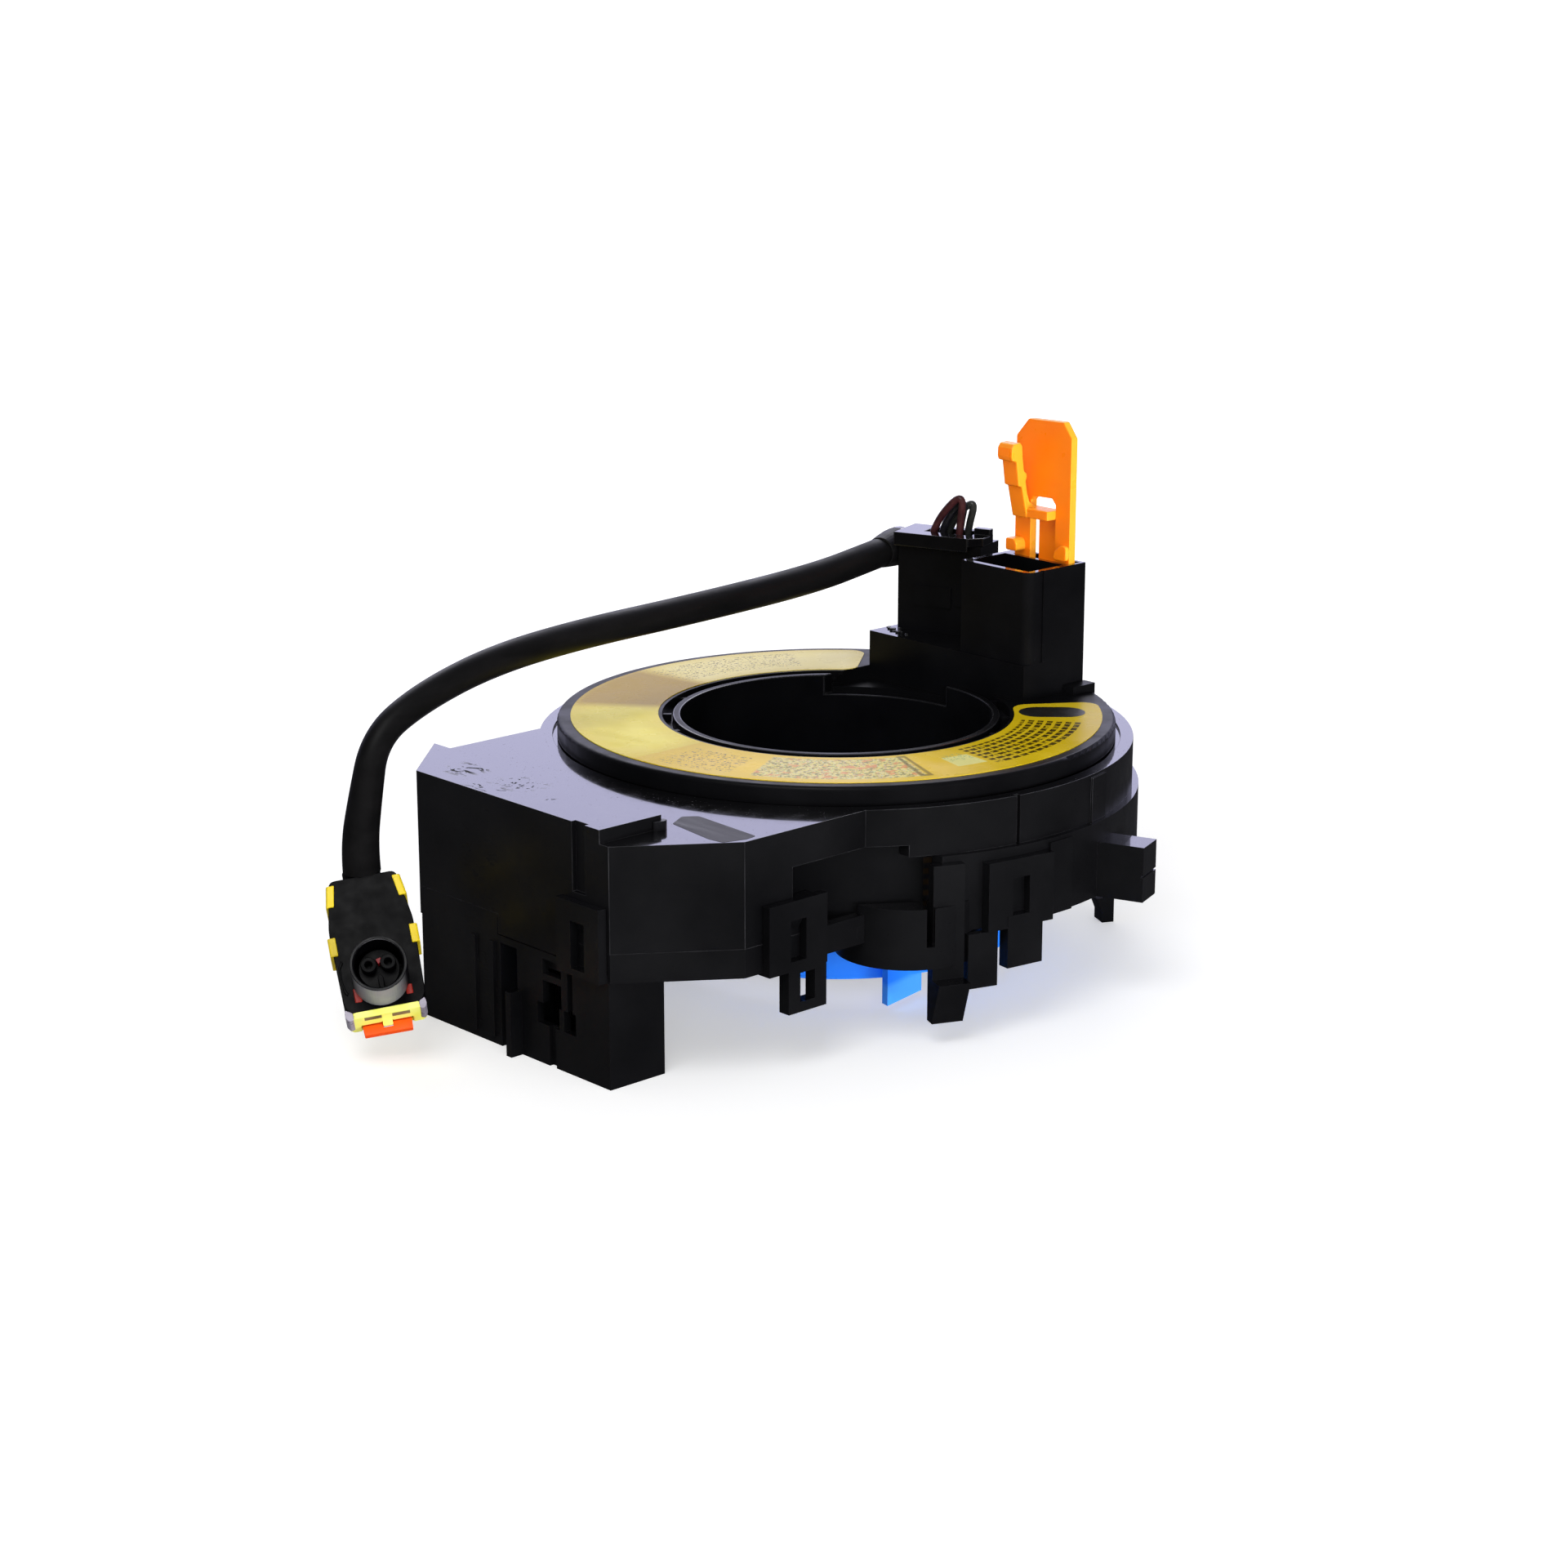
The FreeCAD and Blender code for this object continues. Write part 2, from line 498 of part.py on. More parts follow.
def tower_cap():
    body = new_body("tower_cap")
    outline = [("cap_front", "cap_left"), ("cap_front", "cap_lip_right"),
               ("cap_front + cap_lip * 2", "cap_right"), ("cap_back - cap_cut", "cap_right"),
               ("cap_back", "cap_right + cap_cut"), ("cap_back", "cap_left")]
    add_prism(body, "cap_plate", outline, "cap_low", "cap_top", "crown_turn")
    add_block(body, "cap_lip", ("cap_front", "cap_front + cap_lip"),
              ("cap_lip_right", "cap_left"), ("cap_low - cap_lip_deep", "cap_low"), "crown_turn")
    cut_block(body, "wire_slot", ("cap_slot_front", "cap_slot_back"),
              ("cap_slot_right", "cap_slot_left"), ("cap_low", "cap_top"), "crown_turn")
    add_block(body, "cap_bar", ("cap_back - cap_cut - cap_bar_deep", "cap_back - cap_cut"),
              ("cap_right", "cap_slot_right"), ("cap_top", "cap_top + cap_bar"), "crown_turn")
    return body


# Housing

def box_outline(inset, root):
    """The box's plan, set in by a wall, closed at x = -root inside the drum."""
    return [(f"-({root})", f"-near_side + {inset}"),
            (f"-near_corner + {inset} / 3", f"-near_side + {inset}"),
            (f"-face_out + {inset}", f"-face_near + {inset} / 3"),
            (f"-face_out + {inset}", f"face_far - {inset} / 3"),
            (f"-far_corner + {inset} / 3", f"far_side - {inset}"),
            (f"-({root})", f"far_side - {inset}")]


def housing_upper():
    body = new_body("housing_upper")
    add_disc(body, "drum", "drum_radius", "drum_seam", "housing_top")
    add_prism(body, "box", box_outline("0", "box_root"), "box_seam", "housing_top")
    add_prism(body, "band", [
        ("-face_out + band_width", "-band_near"), ("-face_out + band_width", "band_far"),
        ("-face_out", "face_far"), ("-face_out", "-band_near")], "housing_top - 1", "band_top")
    cut_disc(body, "drum_room", "drum_inner", "box_seam", "top_under")
    cut_prism(body, "box_room", box_outline("box_wall", "cavity_root"), "box_seam", "top_under")
    cut_disc(body, "top_bore", "top_bore", "top_under", "housing_top")
    cut_disc(body, "seat_recess", "seat_recess_radius", "seat_floor", "housing_top")
    for name, start, low in (("undercut_high", "window_from", "housing_top - window_step_deep"),
                             ("undercut_low", "window_step", "box_seam")):
        cut_block(body, name, (start, "window_to"), ("-near_side - 9", "-near_side + 5"),
                  (low, "housing_top - window_deep"))
    cut_block(body, "face_groove", ("-face_out - 1", "-face_out + groove_cut"),
              ("face_groove_near", "face_groove_far"), ("band_top - face_groove_deep", "band_top"))
    cut_block(body, "drum_groove", ("drum_radius - groove_cut", "drum_radius + 1"),
              span("0", "drum_groove_width"), ("drum_seam", "housing_top"), "drum_groove_turn")
    add_block(body, "drum_strip", ("drum_inner + 0.5", "drum_radius + strip_rise"),
              span("0", "drum_strip_width"), ("drum_seam", "housing_top - 0.6"), "drum_strip_turn")
    add_block(body, "face_skirt", ("-face_out", "-face_out + box_wall"),
              ("face_skirt_near", "face_skirt_far"), ("box_seam - face_skirt_drop", "box_seam"))
    ramp(body, "face_ramp", "face_loop_at", "face_loop_foot", "-face_out", "YZ")
    ramp(body, "near_ramp", "near_loop_at", "near_loop_foot", "-near_side", "XZ")
    return body


def ramp(body, name, at, foot, face, across):
    """A wedge on the upper shell that a clip loop of the lower shell snaps over."""
    top = f"{foot} + loop_high - loop_head"
    profile = [(f"{face} + 0.5", f"{top} - ramp_high"), (f"{face} - ramp_out", top),
               (f"{face} + 0.5", top)]
    half = "(loop_window / 2 - loop_gap)"
    if across == "YZ":
        # In the plane XZ the sketch's normal is -Y, so its level is minus y
        add_prism(body, name, profile, f"-({at}) - {half}", f"-({at}) + {half}", None, "XZ_Plane")
    else:
        add_prism(body, name, profile, f"{at} - {half}", f"{at} + {half}", None, "YZ_Plane")


def clip_loop(body, name, x, y, foot, window_x, window_y, turn=None):
    """A flat loop that stands on the lower shell, with its window."""
    add_block(body, name, x, y, (foot, f"{foot} + loop_high"), turn)
    top = f"{foot} + loop_high - loop_head"
    cut_block(body, name + "_window", window_x, window_y, (f"{top} - loop_window_high", top), turn)


def add_loops(body):
    out = ("-face_out - loop_gap - loop_thick", "-face_out - loop_gap")
    clip_loop(body, "face_loop", out, span("face_loop_at", "face_loop_width"), "face_loop_foot",
              out, span("face_loop_at", "loop_window"))
    add_block(body, "face_loop_root", ("-face_out - loop_gap - loop_thick", "-face_out + box_wall"),
              span("face_loop_at", "face_loop_width"), ("box_low", "box_low + 1.2"))
    side = ("-near_side - loop_gap - loop_thick", "-near_side - loop_gap")
    clip_loop(body, "near_loop", span("near_loop_at", "near_loop_width"), side, "near_loop_foot",
              span("near_loop_at", "loop_window"), side)
    add_block(body, "near_loop_root", span("near_loop_at", "near_loop_width"),
              ("-near_side - loop_gap - loop_thick", "-near_side + box_wall"),
              ("near_loop_foot", "box_low + 1.2"))
    drum = ("skirt_radius - 0.5", "skirt_radius + loop_thick")
    clip_loop(body, "drum_loop", drum, span("0", "drum_loop_width"), "drum_loop_foot",
              ("skirt_radius", "skirt_radius + loop_thick"), span("0", "loop_window"),
              "drum_loop_turn")


def socket(body, name, x, y):
    """A harness socket below the box, open downwards."""
    add_block(body, name, x, y, ("stand_level", "box_low"))
    room_x = (f"{x[0]} + socket_wall", f"{x[1]} - socket_wall")
    room_y = (f"{y[0]} + socket_wall", f"{y[1]} - socket_wall")
    cut_block(body, name + "_room", room_x, room_y, ("stand_level", "stand_level + socket_deep"))


def add_sockets(body):
    near = ("near_socket_near", "near_socket_far")
    far = ("far_socket_near", "far_socket_far")
    socket(body, "near_socket", ("-face_out", "-near_socket_in"), near)
    socket(body, "far_socket", ("-face_out", "-far_socket_in"), far)
    wall = ("-face_out", "-face_out + socket_wall")
    latch = "near_socket_near + latch_out"
    key = "near_socket_near + key_out"
    holes = [((latch, f"{latch} + latch_wide"), ("latch_bar + latch_bar_high", "box_low")),
             ((latch, f"{latch} + latch_wide"), ("latch_foot", "latch_bar")),
             ((f"{latch} + 0.6", f"{latch} + latch_wide + 1.6"), ("latch_low", "latch_foot")),
             ((key, f"{key} + key_wide"), ("latch_foot", "box_low")),
             ((f"{key} - 0.8", f"{key} + key_wide + 1.0"), ("latch_low", "latch_foot"))]
    for number, (across, high) in enumerate(holes, start=1):
        cut_block(body, f"latch_hole_{number}", wall, across, high)
    cut_block(body, "socket_groove", ("-face_out", "-face_out + socket_groove"),
              span(f"{latch} + latch_wide / 2", "1.8"), ("stand_level", "latch_low"))
    add_block(body, "prong", ("-face_out - prong_out", "-face_out + socket_wall"),
              ("prong_near", "prong_far"), ("stand_level", "prong_top"))
    for number, place in enumerate(("rib_one", "rib_two"), start=1):
        add_block(body, f"socket_rib_{number}", ("-face_out - rib_out", "-face_out + 0.5"),
                  span(place, "socket_rib"), ("stand_level + 1.5", "box_low"))


def radial_leg(body, name, turn, width, low, top, inner="skirt_radius - 0.6", thick="leg_thick"):
    add_block(body, name, (inner, f"{inner} + {thick}"), span("0", width), (low, top), turn)


def add_hooks(body):
    """The tabs, hooks and legs around the drum's underside."""
    radial_leg(body, "hook_stem", "hook_turn", "hook_width", "hook_low", "hook_top")
    radial_leg(body, "hook_step", "step_turn", "step_width", "step_low", "hook_foot_top")
    radial_leg(body, "round_leg", "round_leg_turn", "round_leg_width", "round_leg_low", "drum_low + 2")
    add_block(body, "panel", ("skirt_radius - 0.5", "skirt_radius + panel_rise"),
              span("0", "panel_width"), ("drum_low", "panel_top"), "panel_turn")
    barb = [("skirt_radius + leg_thick - 0.7", "hook_low"),
            ("skirt_radius + leg_thick + barb_out - 0.7", "hook_low + barb_high"),
            ("skirt_radius + leg_thick - 0.7", "hook_low + barb_high")]
    turned_wedge(body, "hook_barb", barb, "hook_turn", "hook_width")
    for name in ("right_leg", "far_leg", "back_leg"):
        radial_leg(body, name, name + "_turn", "stand_leg_width", "stand_level", "drum_low + 1",
                   "stand_leg_radius")
        foot = [("stand_leg_radius + 0.4", "stand_level + foot_barb_high"),
                ("stand_leg_radius - foot_barb", "stand_level + foot_barb_high"),
                ("stand_leg_radius + 0.4", "stand_level + 1")]
        turned_wedge(body, name + "_barb", foot, name + "_turn", "stand_leg_width")
    add_block(body, "slot_leg", span("slot_leg_at", "slot_leg_width"),
              ("-near_side - loop_gap - loop_thick", "-near_side - loop_gap - loop_thick + leg_thick"),
              ("slot_leg_low", "slot_leg_top - 6"))
    cut_block(body, "slot_leg_slot", span("slot_leg_at", "slot_leg_slot"),
              ("-near_side - loop_thick * 2", "-near_side + leg_thick"),
              ("slot_leg_slot_low", "slot_leg_slot_top"))


def turned_wedge(body, name, profile, turn, width):
    """A wedge drawn as radius and height, swung about Z to its angle."""
    sketch = body.newObject("Sketcher::SketchObject", name + "_sketch")
    angle = size(turn)
    swing = Rotation(Vector(0, 0, 1), angle)
    upright = swing * Rotation(Vector(1, 0, 0), 90)
    sketch.Placement = Placement(swing.multVec(Vector(0, size(width) / 2, 0)), upright)
    draw_polygon(sketch, profile)
    pad(body, name, sketch, width)


def boss(body):
    """The round boss under the near side, cut clear of the turning cam."""
    add_disc(body, "boss", "boss_radius", "boss_low", "boss_top", "boss_x", "boss_y")
    cut_disc(body, "boss_clear", "boss_clear", "boss_low", "drum_low")
    cut_block(body, "boss_slot", ("boss_clear + 8", "skirt_radius + 4"), span("0", "boss_slot"),
              ("boss_low + 4", "boss_top"), "boss_slot_turn")


def bracket(body):
    """The arm at the drum's side, with the line between its two halves."""
    sides = ("bracket_left", "bracket_right")
    add_block(body, "bracket", ("skirt_inner - 1.5", "bracket_out"), sides,
              ("drum_low", "bracket_top"), "bracket_turn")
    cut_block(body, "bracket_line", ("bracket_out - bracket_gap", "bracket_out"), sides,
              span("bracket_split", "bracket_gap"), "bracket_turn")


def housing_lower():
    body = new_body("housing_lower")
    add_disc(body, "skirt", "skirt_radius", "drum_low", "drum_seam")
    cut_block(body, "skirt_trim_near", ("-skirt_radius - 1", "skirt_start_near"),
              ("-skirt_radius - 1", "0"), ("drum_floor", "drum_seam"))
    cut_block(body, "skirt_trim_far", ("-skirt_radius - 1", "skirt_start_far"),
              ("0", "skirt_radius + 1"), ("drum_floor", "drum_seam"))
    cut_block(body, "floor_trim", ("-skirt_radius - 1", "-skirt_radius + 24"),
              ("-skirt_radius - 1", "-near_side - 0.01"), ("drum_low", "drum_floor"))
    add_prism(body, "box", box_outline("0", "box_root"), "box_low", "box_seam")
    boss(body)
    cut_disc(body, "drum_room", "skirt_inner", "drum_floor", "drum_seam")
    cut_prism(body, "box_room", box_outline("box_wall", "cavity_root"), "box_floor", "box_seam")
    cut_block(body, "skirt_gap", ("-face_out", "-face_out + box_wall"),
              ("face_skirt_near - 0.2", "face_skirt_far + 0.2"),
              ("box_seam - face_skirt_drop - 0.2", "box_seam"))
    add_rail(body)
    cut_disc(body, "floor_bore", "floor_bore", "box_low", "drum_floor")
    add_loops(body)
    add_sockets(body)
    add_hooks(body)
    bracket(body)
    return body


def add_rail(body):
    """The curved wall that guides the flat cable on the box side."""
    sketch = new_sketch(body, "rail", "drum_floor - 0.5")
    draw_sector(sketch, "rail_inner", "rail_outer", "rail_from", "rail_to")
    pad(body, "rail", sketch, "top_under - rotor_gap - drum_floor + 0.5")
    cut_block(body, "rail_slot", ("-rail_outer - 1", "-rail_inner + 6"),
              span("rail_slot_at", "rail_slot"), ("drum_floor", "top_under"))


def contact_carrier():
    body = new_body("contact_carrier")
    add_block(body, "carrier", ("-carrier_out", "-carrier_in"), ("carrier_near", "carrier_far"),
              ("box_floor", "carrier_top"))
    return body


def flat_cable():
    """The flat cable between hub and rail: half turns of growing radius about two centres."""
    half, thick = size("cable_pitch") / 2, size("cable_thick")
    halves = 2 * int(size("cable_turns"))
    middle = [Vector(0, 0, 0), Vector(half, 0, 0)]

    def half_turn(number, extra):
        radius = size("cable_inner") + number * half + extra
        sign = 1 if number % 2 == 0 else -1
        centre = middle[number % 2]
        return [centre + Vector(sign * radius * math.cos(a), sign * radius * math.sin(a), 0)
                for a in (0, math.pi / 2, math.pi)]

    inner = [half_turn(i, 0) for i in range(halves)]
    outer = [half_turn(i, thick) for i in range(halves)]
    edges = [Part.Arc(*points).toShape() for points in inner]
    edges.append(Part.LineSegment(inner[-1][2], outer[-1][2]).toShape())
    edges += [Part.Arc(*reversed(points)).toShape() for points in reversed(outer)]
    edges.append(Part.LineSegment(outer[0][0], inner[0][0]).toShape())
    face = Part.Face(Part.Wire(edges))
    cable = doc.addObject("Part::Feature", "flat_cable")
    cable.Shape = face.extrude(Vector(0, 0, size("cable_high")))
    cable.Placement = Placement(Vector(0, 0, size("drum_floor")), Rotation())
    return cable


# Lock tab

def lock_tab():
    body = new_body("lock_tab")
    plate = [("tab_left", "tab_low"), ("tab_left", "tab_top - tab_corner"),
             ("tab_left - tab_corner", "tab_top"), ("tab_right + tab_corner", "tab_top"),
             ("tab_right", "tab_top - tab_corner"), ("tab_right", "tab_low")]
    add_prism(body, "plate", plate, "tab_front", "tab_back", None, "YZ_Plane")
    window = [("tab_window_left", "tab_window_low"), ("tab_window_left", "tab_window_top - 1"),
              ("tab_window_left - 1", "tab_window_top"), ("tab_window_right + 1.6", "tab_window_top"),
              ("tab_window_right", "tab_window_top - 1.6"), ("tab_window_right", "tab_window_low")]
    cut_prism(body, "window", window, "tab_front", "tab_back", None, "YZ_Plane")
    add_block(body, "web", ("tab_back - tab_web", "tab_back"),
              ("tab_window_right", "tab_window_left - 0.9"), ("tab_window_low", "bar_high"))
    add_block(body, "bar", ("arm_out", "tab_back"), ("tab_window_right - 0.2", "tab_window_left + 0.2"),
              ("bar_low", "bar_high"))
    add_block(body, "bar_end", ("arm_out", "tab_front"), ("tab_window_left - 0.1", "arm_left"),
              ("bar_low", "bar_high"))
    # In the plane XZ the sketch's normal is -Y, so its level is minus y
    arm = [("arm_out", "bar_low"), ("arm_out + arm_thick", "bar_low"),
           ("arm_out + arm_thick - arm_lean", "arm_top - 0.6"),
           ("arm_out + arm_thick - arm_lean - 0.6", "arm_top"),
           ("arm_out - arm_lean - arm_head_out", "arm_top"),
           ("arm_out - arm_lean - arm_head_out - 0.5", "arm_head_low + 0.9"),
           ("arm_out - arm_lean + 0.2", "arm_head_low")]
    add_prism(body, "arm", arm, "-arm_left", "-arm_right", None, "XZ_Plane")
    add_block(body, "tongue", ("tab_front", "tab_back"), ("tongue_right", "tongue_left"),
              ("tongue_tip", "tab_low"))
    add_block(body, "foot_left", ("tab_front - tab_foot_out", "tab_front"),
              ("tab_left - 2.4", "tab_left"), ("tab_foot_low", "tab_foot_top"))
    add_block(body, "foot_right", ("tab_front - 0.8", "tab_front"),
              ("tab_right", "tab_right + 3.2"), ("tab_foot_low", "tab_foot_top - 0.4"))
    return body


# Tubes along a route of straight runs joined by tangent arcs

ARC_SHARE = 0.45


def tube(name, points, diameter):
    points = [Vector(*p) for p in points]
    edges, start, radii = [], points[0], []
    for before, corner, after in zip(points, points[1:], points[2:]):
        back, ahead = before - corner, after - corner
        turn = math.pi - back.getAngle(ahead)
        reach = ARC_SHARE * min(back.Length, ahead.Length)
        radius = reach / math.tan(turn / 2)
        first = corner + back.normalize() * reach
        last = corner + ahead.normalize() * reach
        inward = (back + ahead).normalize()
        centre = corner + inward * math.hypot(radius, reach)
        middle = centre - inward * radius
        edges += [Part.LineSegment(start, first).toShape(), Part.Arc(first, middle, last).toShape()]
        start = last
        radii.append(round(radius, 1))
    edges.append(Part.LineSegment(start, points[-1]).toShape())
    path = Part.Wire(edges)
    ring = Part.Wire(Part.Circle(points[0], points[1] - points[0], diameter / 2).toShape())
    solid = doc.addObject("Part::Feature", name)
    solid.Shape = path.makePipeShell([ring], True, False)
    ideal = math.pi * diameter ** 2 / 4 * path.Length
    print(name, "length", round(path.Length, 1), "radii", radii,
          "volume ratio", round(solid.Shape.Volume / ideal, 5))
    return solid


def in_crown(radial, across, z):
    """A point given in the crown's turned frame."""
    angle = math.radians(size("crown_turn"))
    return (radial * math.cos(angle) - across * math.sin(angle),
            radial * math.sin(angle) + across * math.cos(angle), z)


# Each wire: where it leaves the cap's slot, its two top points and where it goes back in
WIRES = [
    [(43.85, 2.0, 22.5), (43.85, 1.95, 27.2), (43.85, -5.2, 35.5), (43.85, -4.2, 27.0),
     (43.85, -4.0, 22.5)],
    [(45.35, 0.6, 22.5), (45.35, 0.5, 27.4), (45.35, -5.0, 33.9), (45.35, -3.5, 26.6),
     (45.35, -3.4, 22.5)],
    [(46.85, 0.0, 22.5), (46.85, -0.1, 27.2), (46.85, -6.5, 33.7), (46.85, -4.5, 26.2),
     (46.85, -4.3, 22.5)],
]


def lead_wires():
    return [tube(f"lead_wire_{number}", [in_crown(*p) for p in route], size("wire_thick"))
            for number, route in enumerate(WIRES, start=1)]


# The sleeve's free run, from the gland over the disc and the box to the airbag plug
SLEEVE_RUN = [(31.0, 22.3, 22.0), (14.5, 21.8, 19.8), (-16.8, 20.9, 18.8), (-45.3, 20.1, 18.5),
              (-65.8, 19.4, 17.0), (-81.6, 19.0, 13.0), (-91.7, 18.7, 7.8), (-94.2, 18.7, -3.0),
              (-95.7, 18.6, -10.5)]


def lead_sleeve():
    start = in_crown(size("gland_face"), size("gland_at"), size("gland_z"))
    end = plug_place().Base + plug_lead() * size("collar_high")
    return tube("lead_sleeve", [start] + SLEEVE_RUN + [tuple(end)], size("sleeve_thick"))


# Airbag plug

def plug_place():
    """The plug's frame: its top, tilted to face the viewer and leaning to one side."""
    turn = (Rotation(Vector(0, 0, 1), size("plug_azimuth"))
            * Rotation(Vector(1, 0, 0), size("plug_tilt"))
            * Rotation(Vector(0, 1, 0), size("plug_lean")))
    return Placement(Vector(size("plug_at_x"), size("plug_at_y"), size("plug_at_z")), turn)


def plug_lead():
    """The way the lead leaves the plug's top."""
    return (Vector(*SLEEVE_RUN[-1]) - plug_place().Base).normalize()


def plug_collar(body):
    """The round collar at the plug's top, which leans to meet the lead."""
    way = plug_place().Rotation.inverted().multVec(plug_lead())
    sketch = new_sketch(body, "collar", "0")
    sketch.MapMode = "Deactivated"
    sketch.Placement = Placement(way * -2.5, Rotation(Vector(0, 0, 1), way))
    draw_circle(sketch, "collar_radius")
    pad(body, "collar", sketch, "collar_high + 2.5")


def face_disc(body, name, radius, front, back, x="0", inner=None):
    """A round pad along the plug's y between two depths, about the barrel's axis."""
    # In the plane XZ the sketch's normal is -Y, so its level is minus y
    return add_disc(body, name, radius, f"-({back})", f"-({front})", x, "-barrel_at", inner, "XZ_Plane")


def squib_body():
    body = new_body("squib_body")
    outline = [("-plug_top_half", "0"), ("-plug_half", "-plug_mid"),
               ("-plug_half + 0.3", "-plug_long + 1.2"), ("-plug_half + 1.4", "-plug_long"),
               ("plug_half - 1.4", "-plug_long"), ("plug_half - 0.3", "-plug_long + 1.2"),
               ("plug_half", "-plug_mid"), ("plug_top_half", "0")]
    add_prism(body, "shell", outline, "-plug_back", "plug_front", None, "XZ_Plane")
    plug_collar(body)
    for side, low in (("left", "-plug_half - 1"), ("right", "plug_half - lock_arm_wide - 1.1")):
        high = "-plug_half + lock_arm_wide + 1.1" if side == "left" else "plug_half + 1"
        cut_block(body, f"arm_bay_{side}", (low, high), ("-plug_front - 1", "-lock_front + 0.3"),
                  ("-plug_long", "-lock_arm_top"))
    face_disc(body, "barrel", "barrel_radius", "-plug_front - barrel_long", "-plug_front + 1")
    cut_disc(body, "barrel_room", "barrel_radius - barrel_wall", "plug_front + 0.6",
             "plug_front + barrel_long", "0", "-barrel_at", "XZ_Plane")
    face_disc(body, "core", "barrel_radius - barrel_wall - 0.9", "-plug_front - barrel_long + core_drop",
              "-plug_front")
    cut_prism(body, "key", corners(span("0", "key_side"), ("-barrel_at - 3.4", "-barrel_at - 0.9")),
              "plug_front + 1", "plug_front + barrel_long", None, "XZ_Plane")
    for name, side in (("left", "-contact_half"), ("right", "contact_half")):
        cut_disc(body, "contact_hole_" + name, "contact_radius", "plug_front",
                 "plug_front + barrel_long", side, "-barrel_at + 0.6", "XZ_Plane")
    cut_block(body, "lock_bay", ("-lock_half - lock_gap", "lock_half + lock_gap"),
              ("-lock_front - lock_gap", "-lock_front + lock_thick + lock_gap"),
              ("-plug_long", "-lock_arm_top - 2"))
    cut_block(body, "arm_slot", ("-lock_arm_half - lock_arm_wide / 2 - lock_gap",
                                 "lock_arm_half + lock_arm_wide / 2 + lock_gap"),
              ("-lock_front - lock_gap", "-lock_front + lock_thick + lock_gap"),
              ("-plug_long", "-lock_arm_top + lock_travel + lock_gap"))
    return body


def squib_contacts():
    body = new_body("squib_contacts")
    body.AllowCompound = True
    sketch = new_sketch(body, "contacts", "plug_front", None, "XZ_Plane")
    for side in ("-contact_half", "contact_half"):
        draw_circle(sketch, "contact_radius - 0.05", side, "-barrel_at + 0.6")
        draw_circle(sketch, "contact_bore", side, "-barrel_at + 0.6")
    pad(body, "contacts", sketch, "barrel_long - core_drop - 0.4")
    return body


def squib_cover():
    """The yellow carrier behind the plug, with its side ears and the frame at its lower end."""
    body = new_body("squib_cover")
    back = ("plug_back", "plug_back + cover_thick")
    add_block(body, "cover", ("-cover_half + 1", "cover_half - 1"), back,
              ("-plug_long - frame_thick", "-cover_top"))
    add_block(body, "frame", ("-frame_half", "frame_half"), ("-frame_front", "plug_back + cover_thick"),
              ("-plug_long - frame_thick", "-plug_long"))
    for row, start in (("upper", "ear_upper"), ("lower", "ear_lower")):
        for side in ("-1", "1"):
            inner = f"{side} * ear_{row}_in"
            name = f"ear_{row}" + ("_left" if side == "-1" else "_right")
            x = (inner, f"{inner} + {side} * ear_thick")
            add_block(body, name, x, ("-plug_front + ear_reach", "plug_back + cover_thick"),
                      (f"-({start}) - ear_high", f"-({start})"))
            add_block(body, name + "_arm", ("0", f"{inner} + {side} * ear_thick"), back,
                      (f"-({start}) - ear_high", f"-({start})"))
    cut_block(body, "lock_way", ("-lock_half - lock_gap", "lock_half + lock_gap"),
              ("-lock_front - lock_gap", "-lock_front + lock_thick + lock_gap"),
              ("-plug_long - frame_thick", "-plug_long"))
    return body


def squib_lock():
    body = new_body("squib_lock")
    across = ("-lock_front", "-lock_front + lock_thick")
    low = "-plug_long - frame_thick - lock_out"
    add_block(body, "tab", ("-lock_half", "lock_half"), across, (low, "-plug_long + 0.4 + lock_gap"))
    add_block(body, "bridge",
              ("-lock_arm_half - lock_arm_wide / 2", "lock_arm_half + lock_arm_wide / 2"),
              across, ("-plug_long + lock_gap", "-plug_long + 1.4"))
    for name, middle in (("arm_left", "-lock_arm_half"), ("arm_right", "lock_arm_half")):
        add_block(body, name, span(middle, "lock_arm_wide"), across,
                  ("-plug_long + 1", "-lock_arm_top"))
    return body


def airbag_plug():
    pieces = [squib_body(), squib_contacts(), squib_cover(), squib_lock()]
    for piece in pieces:
        piece.Placement = plug_place()
    return pieces


# The whole part

def build():
    fill_sheet()
    switch_rows = ("switch_row_front", "(switch_row_front + switch_row_gap)")
    harness_rows = ("-harness_row_out", "(-harness_row_out + harness_row_gap)")
    switch_pins = pin_grid("switch_pins", switch_rows, "switch_pin_first", 4, "switch_pin_pitch",
                           ("plug_floor - 4", "switch_pin_top"))
    near_pins = pin_grid("harness_pins_near", harness_rows, "near_pin_first", 6, "harness_pitch",
                         ("harness_pin_low", "harness_pin_top"))
    far_pins = pin_grid("harness_pins_far", harness_rows, "far_pin_first", 5, "harness_pitch",
                        ("harness_pin_low", "harness_pin_top"))
    disc = joined("rotor_disc", rotor_disc(), switch_pins)
    lower = joined("housing_lower", housing_lower(), near_pins)
    lower = joined("housing_lower", lower, far_pins)
    carrier = joined("contact_carrier", contact_carrier(), near_pins)
    carrier = joined("contact_carrier", carrier, far_pins)
    pieces = [disc, lower, carrier, switch_pins, near_pins, far_pins, housing_upper(),
              rotor_sleeve(), cancel_cam(), label(), tower_cap(), lock_tab(), flat_cable()]
    return pieces + lead_wires() + [lead_sleeve()] + airbag_plug()


def check(pieces):
    doc.recompute()
    bad = [o.Name for o in doc.Objects if {"Invalid", "Error"} & set(o.State)]
    bad += [p.Label for p in pieces if p.Shape.isNull() or not p.Shape.isValid()]
    if bad:
        raise SystemExit("failed: " + ", ".join(bad))


